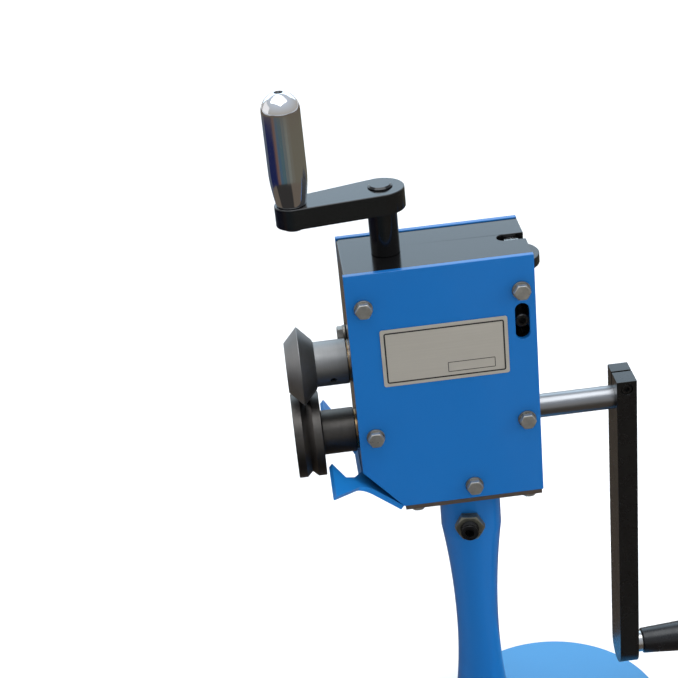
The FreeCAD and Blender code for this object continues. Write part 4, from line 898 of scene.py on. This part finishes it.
def make_crank_arm(oxide):
    """The crank arm, with a round foot, and slit at its top to clamp the shaft."""
    half_width, top = 18, 403
    outline = [*arc(0, GRIP_Z, half_width, 180, 360, 32), (half_width, top), (-half_width, top)]
    arm = sawn("crank_arm_black", [spot(CRANK_LEFT, y, z) for y, z in outline],
               spot(CRANK_RIGHT - CRANK_LEFT, 0, 0))
    carve(arm, box("clamp_slit", (CRANK_LEFT - 1, 1.5, DRIVE_Z), (CRANK_RIGHT + 1, 3.5, top + 1)),
          rod("shaft_bore", 10.72, spot(CRANK_LEFT - 1, 0, DRIVE_Z), (1, 0, 0), 21),
          rod("pin_bore", 6.02, spot(CRANK_LEFT + 1, 0, GRIP_Z), (1, 0, 0), 21),
          rod("screw_sink", 5.3, spot(CLAMP_X, -11.5, CLAMP_Z), (0, -1, 0), 8),
          rod("screw_bore", 3.05, spot(CLAMP_X, -12, CLAMP_Z), (0, 1, 0), 31))
    fit(smooth(ease(arm, 0.8)), "drive", "black_oxide", oxide, "crank_arm")


def make_clamp_screw(oxide):
    """The socket screw that closes the arm's slit."""
    head_front, head_back, tip = -17.5, -11.5, 12.5
    head_radius, radius, chamfer = 5.0, 3.0, 0.6
    profile = [(0, head_front), (head_radius - chamfer, head_front), (head_radius, head_front + chamfer),
               (head_radius, head_back), (radius, head_back), (radius, tip), (0, tip)]
    screw = turned("clamp_screw_black", profile, spot(CLAMP_X, 0, CLAMP_Z), "y", steps=48)
    carve(screw, rod("socket", 2.89, spot(CLAMP_X, head_front - 0.5, CLAMP_Z), (0, 1, 0), 3.5, sides=6))
    fit(smooth(screw), "drive", "black_oxide", oxide, "clamp_screw")


def make_drive_shaft(ground):
    """The lower shaft, thinner from the box's right side to the crank."""
    left, step, right = -216, -11, CRANK_RIGHT
    radius, thin_radius = 12.5, 10.7
    profile = [(0, left), (radius - 0.5, left), (radius, left + 0.5), (radius, step - 0.5),
               (radius - 0.5, step), (thin_radius, step), (thin_radius, right - 0.7),
               (thin_radius - 0.7, right), (0, right)]
    shaft = turned("drive_shaft_ground", profile, spot(0, 0, DRIVE_Z), "x")
    fit(smooth(shaft), "drive", "bright_steel", ground, "drive_shaft")


def make_grip_ferrule(bright):
    """The bright ring between the crank arm and its grip."""
    left, right, radius, chamfer = CRANK_RIGHT + 0.3, GRIP_X - 0.2, 10.5, 0.6
    profile = [(GRIP_BORE, left), (radius - chamfer, left), (radius, left + chamfer),
               (radius, right - chamfer), (radius - chamfer, right), (GRIP_BORE, right)]
    ring = turned("grip_ferrule_bright", profile, spot(0, 0, GRIP_Z), "x", closed=True)
    fit(smooth(ring), "drive", "bright_steel", bright, "grip_ferrule")


def make_crank_grip(plastic):
    """The revolving grip: it swells from its foot to a domed end with a small hole."""
    radius, dome_centre, mouth, ledge = 17, 88, 3.75, 97
    profile = [(GRIP_BORE, 0), (11.3, 0), (12.0, 0.3), (12.3, 1), (14.6, 38), (16.8, 72), (radius, 78),
               *arc(0, dome_centre, radius, 0, 76, 14), (mouth, 104.5), (mouth, ledge), (GRIP_BORE, ledge)]
    grip = turned("crank_grip_moulded", profile, spot(GRIP_X, 0, GRIP_Z), "x", closed=True)
    fit(smooth(grip, 40), "grip", "black_plastic", plastic, "crank_grip")


def make_grip_pin(bright):
    """The pin that the grip turns on, with a thin end in the grip's hole."""
    left, ledge, right, radius, thin_radius = 64.8, 185.7, 192.0, 6.0, 3.7
    profile = [(0, left), (radius - 0.5, left), (radius, left + 0.5), (radius, ledge), (thin_radius, ledge),
               (thin_radius, right - 0.4), (thin_radius - 0.4, right), (0, right)]
    pin = turned("grip_pin_turned", profile, spot(0, 0, GRIP_Z), "x", steps=48)
    fit(smooth(pin), "drive", "bright_steel", bright, "grip_pin")


# ---- feed arm and top handle ----------------------------------------------------------------------

def make_feed_spindle(black):
    """The spindle, its post above the box and its tenon through the arm."""
    foot, collar_foot, tenon_top = 480, 531, 611.3
    radius, collar_radius, post_radius, tenon_radius = 8.0, 9.0, 12.5, 10.0
    profile = [(0, foot), (radius - 0.6, foot), (radius, foot + 0.6), (radius, collar_foot),
               (collar_radius, collar_foot), (collar_radius, TOP_FACE), (post_radius - 0.6, TOP_FACE),
               (post_radius, TOP_FACE + 0.6), (post_radius, ARM_LOW), (tenon_radius, ARM_LOW),
               (tenon_radius, tenon_top - 1.5), (tenon_radius - 1.5, tenon_top), (0, tenon_top)]
    post = turned("feed_post_black", profile, spot(SPINDLE_X, 0, 0), "z")
    fit(smooth(post), "spindle", "black_oxide", black, "feed_spindle")


def make_feed_arm(black):
    """The arm, with a large round end on the spindle and a small one under the handle."""
    near, far = 20.5, 14.6
    lean = math.degrees(math.acos((near - far) / ARM_SPAN))
    outline = []
    for along, side in [*arc(0, 0, near, lean, 360 - lean, 40), *arc(ARM_SPAN, 0, far, -lean, lean, 40)]:
        x = SPINDLE_X + along * math.cos(ARM_TURN) - side * math.sin(ARM_TURN)
        y = along * math.sin(ARM_TURN) + side * math.cos(ARM_TURN)
        outline.append(spot(x, y, ARM_LOW))
    arm = sawn("feed_arm_black", outline, spot(0, 0, ARM_TOP - ARM_LOW))
    carve(arm, rod("tenon_eye", 10.02, spot(SPINDLE_X, 0, ARM_LOW - 1), (0, 0, 1), 22),
          rod("pin_eye", 5.02, spot(HANDLE_X, HANDLE_Y, ARM_LOW - 1), (0, 0, 1), 22))
    fit(smooth(ease(arm, 1.0)), "spindle", "black_oxide", black, "feed_arm")


def make_handle_pin(oxide):
    """The pin that the top handle turns on, with its head under the arm."""
    head_low, ledge, top = 587.4, 697.3, 703.6
    head_radius, radius, thin_radius = 9.5, 5.0, 3.7
    profile = [(0, head_low), (head_radius - 0.6, head_low), (head_radius, head_low + 0.6),
               (head_radius, ARM_LOW), (radius, ARM_LOW), (radius, ledge), (thin_radius, ledge),
               (thin_radius, top - 0.4), (thin_radius - 0.4, top), (0, top)]
    pin = turned("handle_pin_black", profile, spot(HANDLE_X, HANDLE_Y, 0), "z", steps=48)
    fit(smooth(pin), "spindle", "black_oxide", oxide, "handle_pin")


def make_top_handle(chrome):
    """The chromed revolving handle: a tapered foot, a barrel and a domed end with a small hole."""
    foot_radius, radius, flare_start, flare_end = 12.8, 16.0, 0.9, 30.0
    dome_centre, mouth, ledge = 80.5, 3.75, 88.5
    profile = [(HANDLE_BORE, 0), (11.9, 0), (12.5, 0.25), (foot_radius, flare_start)]
    for step in range(1, 17):
        share = step / 16
        swell = math.sin(share * math.pi / 2)
        profile.append((foot_radius + (radius - foot_radius) * swell,
                        flare_start + (flare_end - flare_start) * share))
    profile += arc(0, dome_centre, radius, 0, 75, 20)
    profile += [(mouth, 96.0), (mouth, ledge), (HANDLE_BORE, ledge)]
    handle = turned("top_handle_chromed", profile, spot(HANDLE_X, HANDLE_Y, HANDLE_FOOT), "z", steps=128,
                    closed=True)
    fit(smooth(handle, 40), "handle", "chrome_plate", chrome, "top_handle")


# ---- the rest of the frame ------------------------------------------------------------------------

def finish_node(name, finish):
    """Give a node of the frame its finish."""
    mesh = frame["nodes"][name].data
    mesh.materials.clear()
    mesh.materials.append(finish)


def finish_frame(finishes):
    """Every node takes the finish of its slot."""
    for part in frame["record"]["subparts"]:
        finish_node(part["node"], finishes[part["material_slot"]])


# ---- put it together ------------------------------------------------------------------------------

set_camera()
lay_floor()
light_room()
stand_cards()

paint = blue_paint("blue_paint", (0.0055, 0.108, 0.338), (0.0060, 0.113, 0.350))
# Painted light: a lighter copy of the blue paint for the guide plate, whose top faces up into the light.
guide_paint_painted_light = blue_paint("guide_blue_painted_light", (0.0095, 0.145, 0.42), (0.0105, 0.150, 0.43))
# Painted light: a lighter copy of the blue paint for the base, whose top faces the overhead lamp and the
# sky.
base_paint_painted_light = blue_paint("base_blue_painted_light", (0.039, 0.238, 0.515), (0.041, 0.246, 0.530))
black = gloss_black()
oxide = black_oxide()
rolls = turned_steel("roll_steel", (0.25, 0.247, 0.242), (0.31, 0.306, 0.30), 0.46, 0.56, "x")
# Painted shade: a much darker copy of the roll steel for the lower roll, which sits in shade under the upper
# one.
drive_steel_painted_shade = turned_steel("drive_steel_painted_shade", (0.070, 0.064, 0.058), (0.115, 0.105, 0.096), 0.42, 0.52, "x")
bright = turned_steel("bright_steel", (0.50, 0.49, 0.48), (0.64, 0.63, 0.61), 0.18, 0.3, "x")
ground = turned_steel("ground_steel", (0.30, 0.302, 0.31), (0.33, 0.332, 0.34), 0.29, 0.32, "x", 0.002)
gears = turned_steel("gear_steel", (0.26, 0.26, 0.26), (0.40, 0.39, 0.38), 0.28, 0.4, "x")
zinc = zinc_plate("zinc_plate", (0.40, 0.385, 0.35), (0.58, 0.56, 0.51))
washer_zinc = zinc_plate("washer_zinc", (0.20, 0.19, 0.17), (0.32, 0.30, 0.27))
nut_zinc = zinc_plate("nut_zinc", (0.17, 0.165, 0.13), (0.29, 0.28, 0.22))
bronze = bearing_bronze()
chrome = chrome_plate()
plastic = moulded_black()
plate_metal = brushed_plate()
enamel = black_enamel()
finish_frame({
    "blue_paint": paint, "black_metal": black, "black_oxide": oxide, "roll_steel": rolls,
    "bright_steel": bright, "gear_steel": gears, "zinc": zinc, "bronze": bronze, "chrome_plate": chrome,
    "black_plastic": plastic, "plate_metal": plate_metal,
})
finish_node("bottom_plate", brown_black())

make_base(base_paint_painted_light)
make_column(paint)
make_lock_nut(nut_zinc)
make_lock_screw(oxide)
make_side_plates(paint)
make_top_plate(black)
make_name_plate(plate_metal, enamel)
side_bolts(zinc, washer_zinc)
under_bolts(zinc)
make_pivot_pin(oxide)
make_adjuster_wheel(oxide)
make_guide(guide_paint_painted_light)
make_press_roll(rolls)
make_drive_roll(drive_steel_painted_shade)
shaft_end_bolts(zinc)
make_crank_arm(oxide)
make_clamp_screw(oxide)
make_drive_shaft(ground)
make_grip_ferrule(bright)
make_crank_grip(plastic)
make_grip_pin(bright)
make_feed_spindle(black)
make_feed_arm(black)
make_handle_pin(oxide)
make_top_handle(chrome)
let_go()
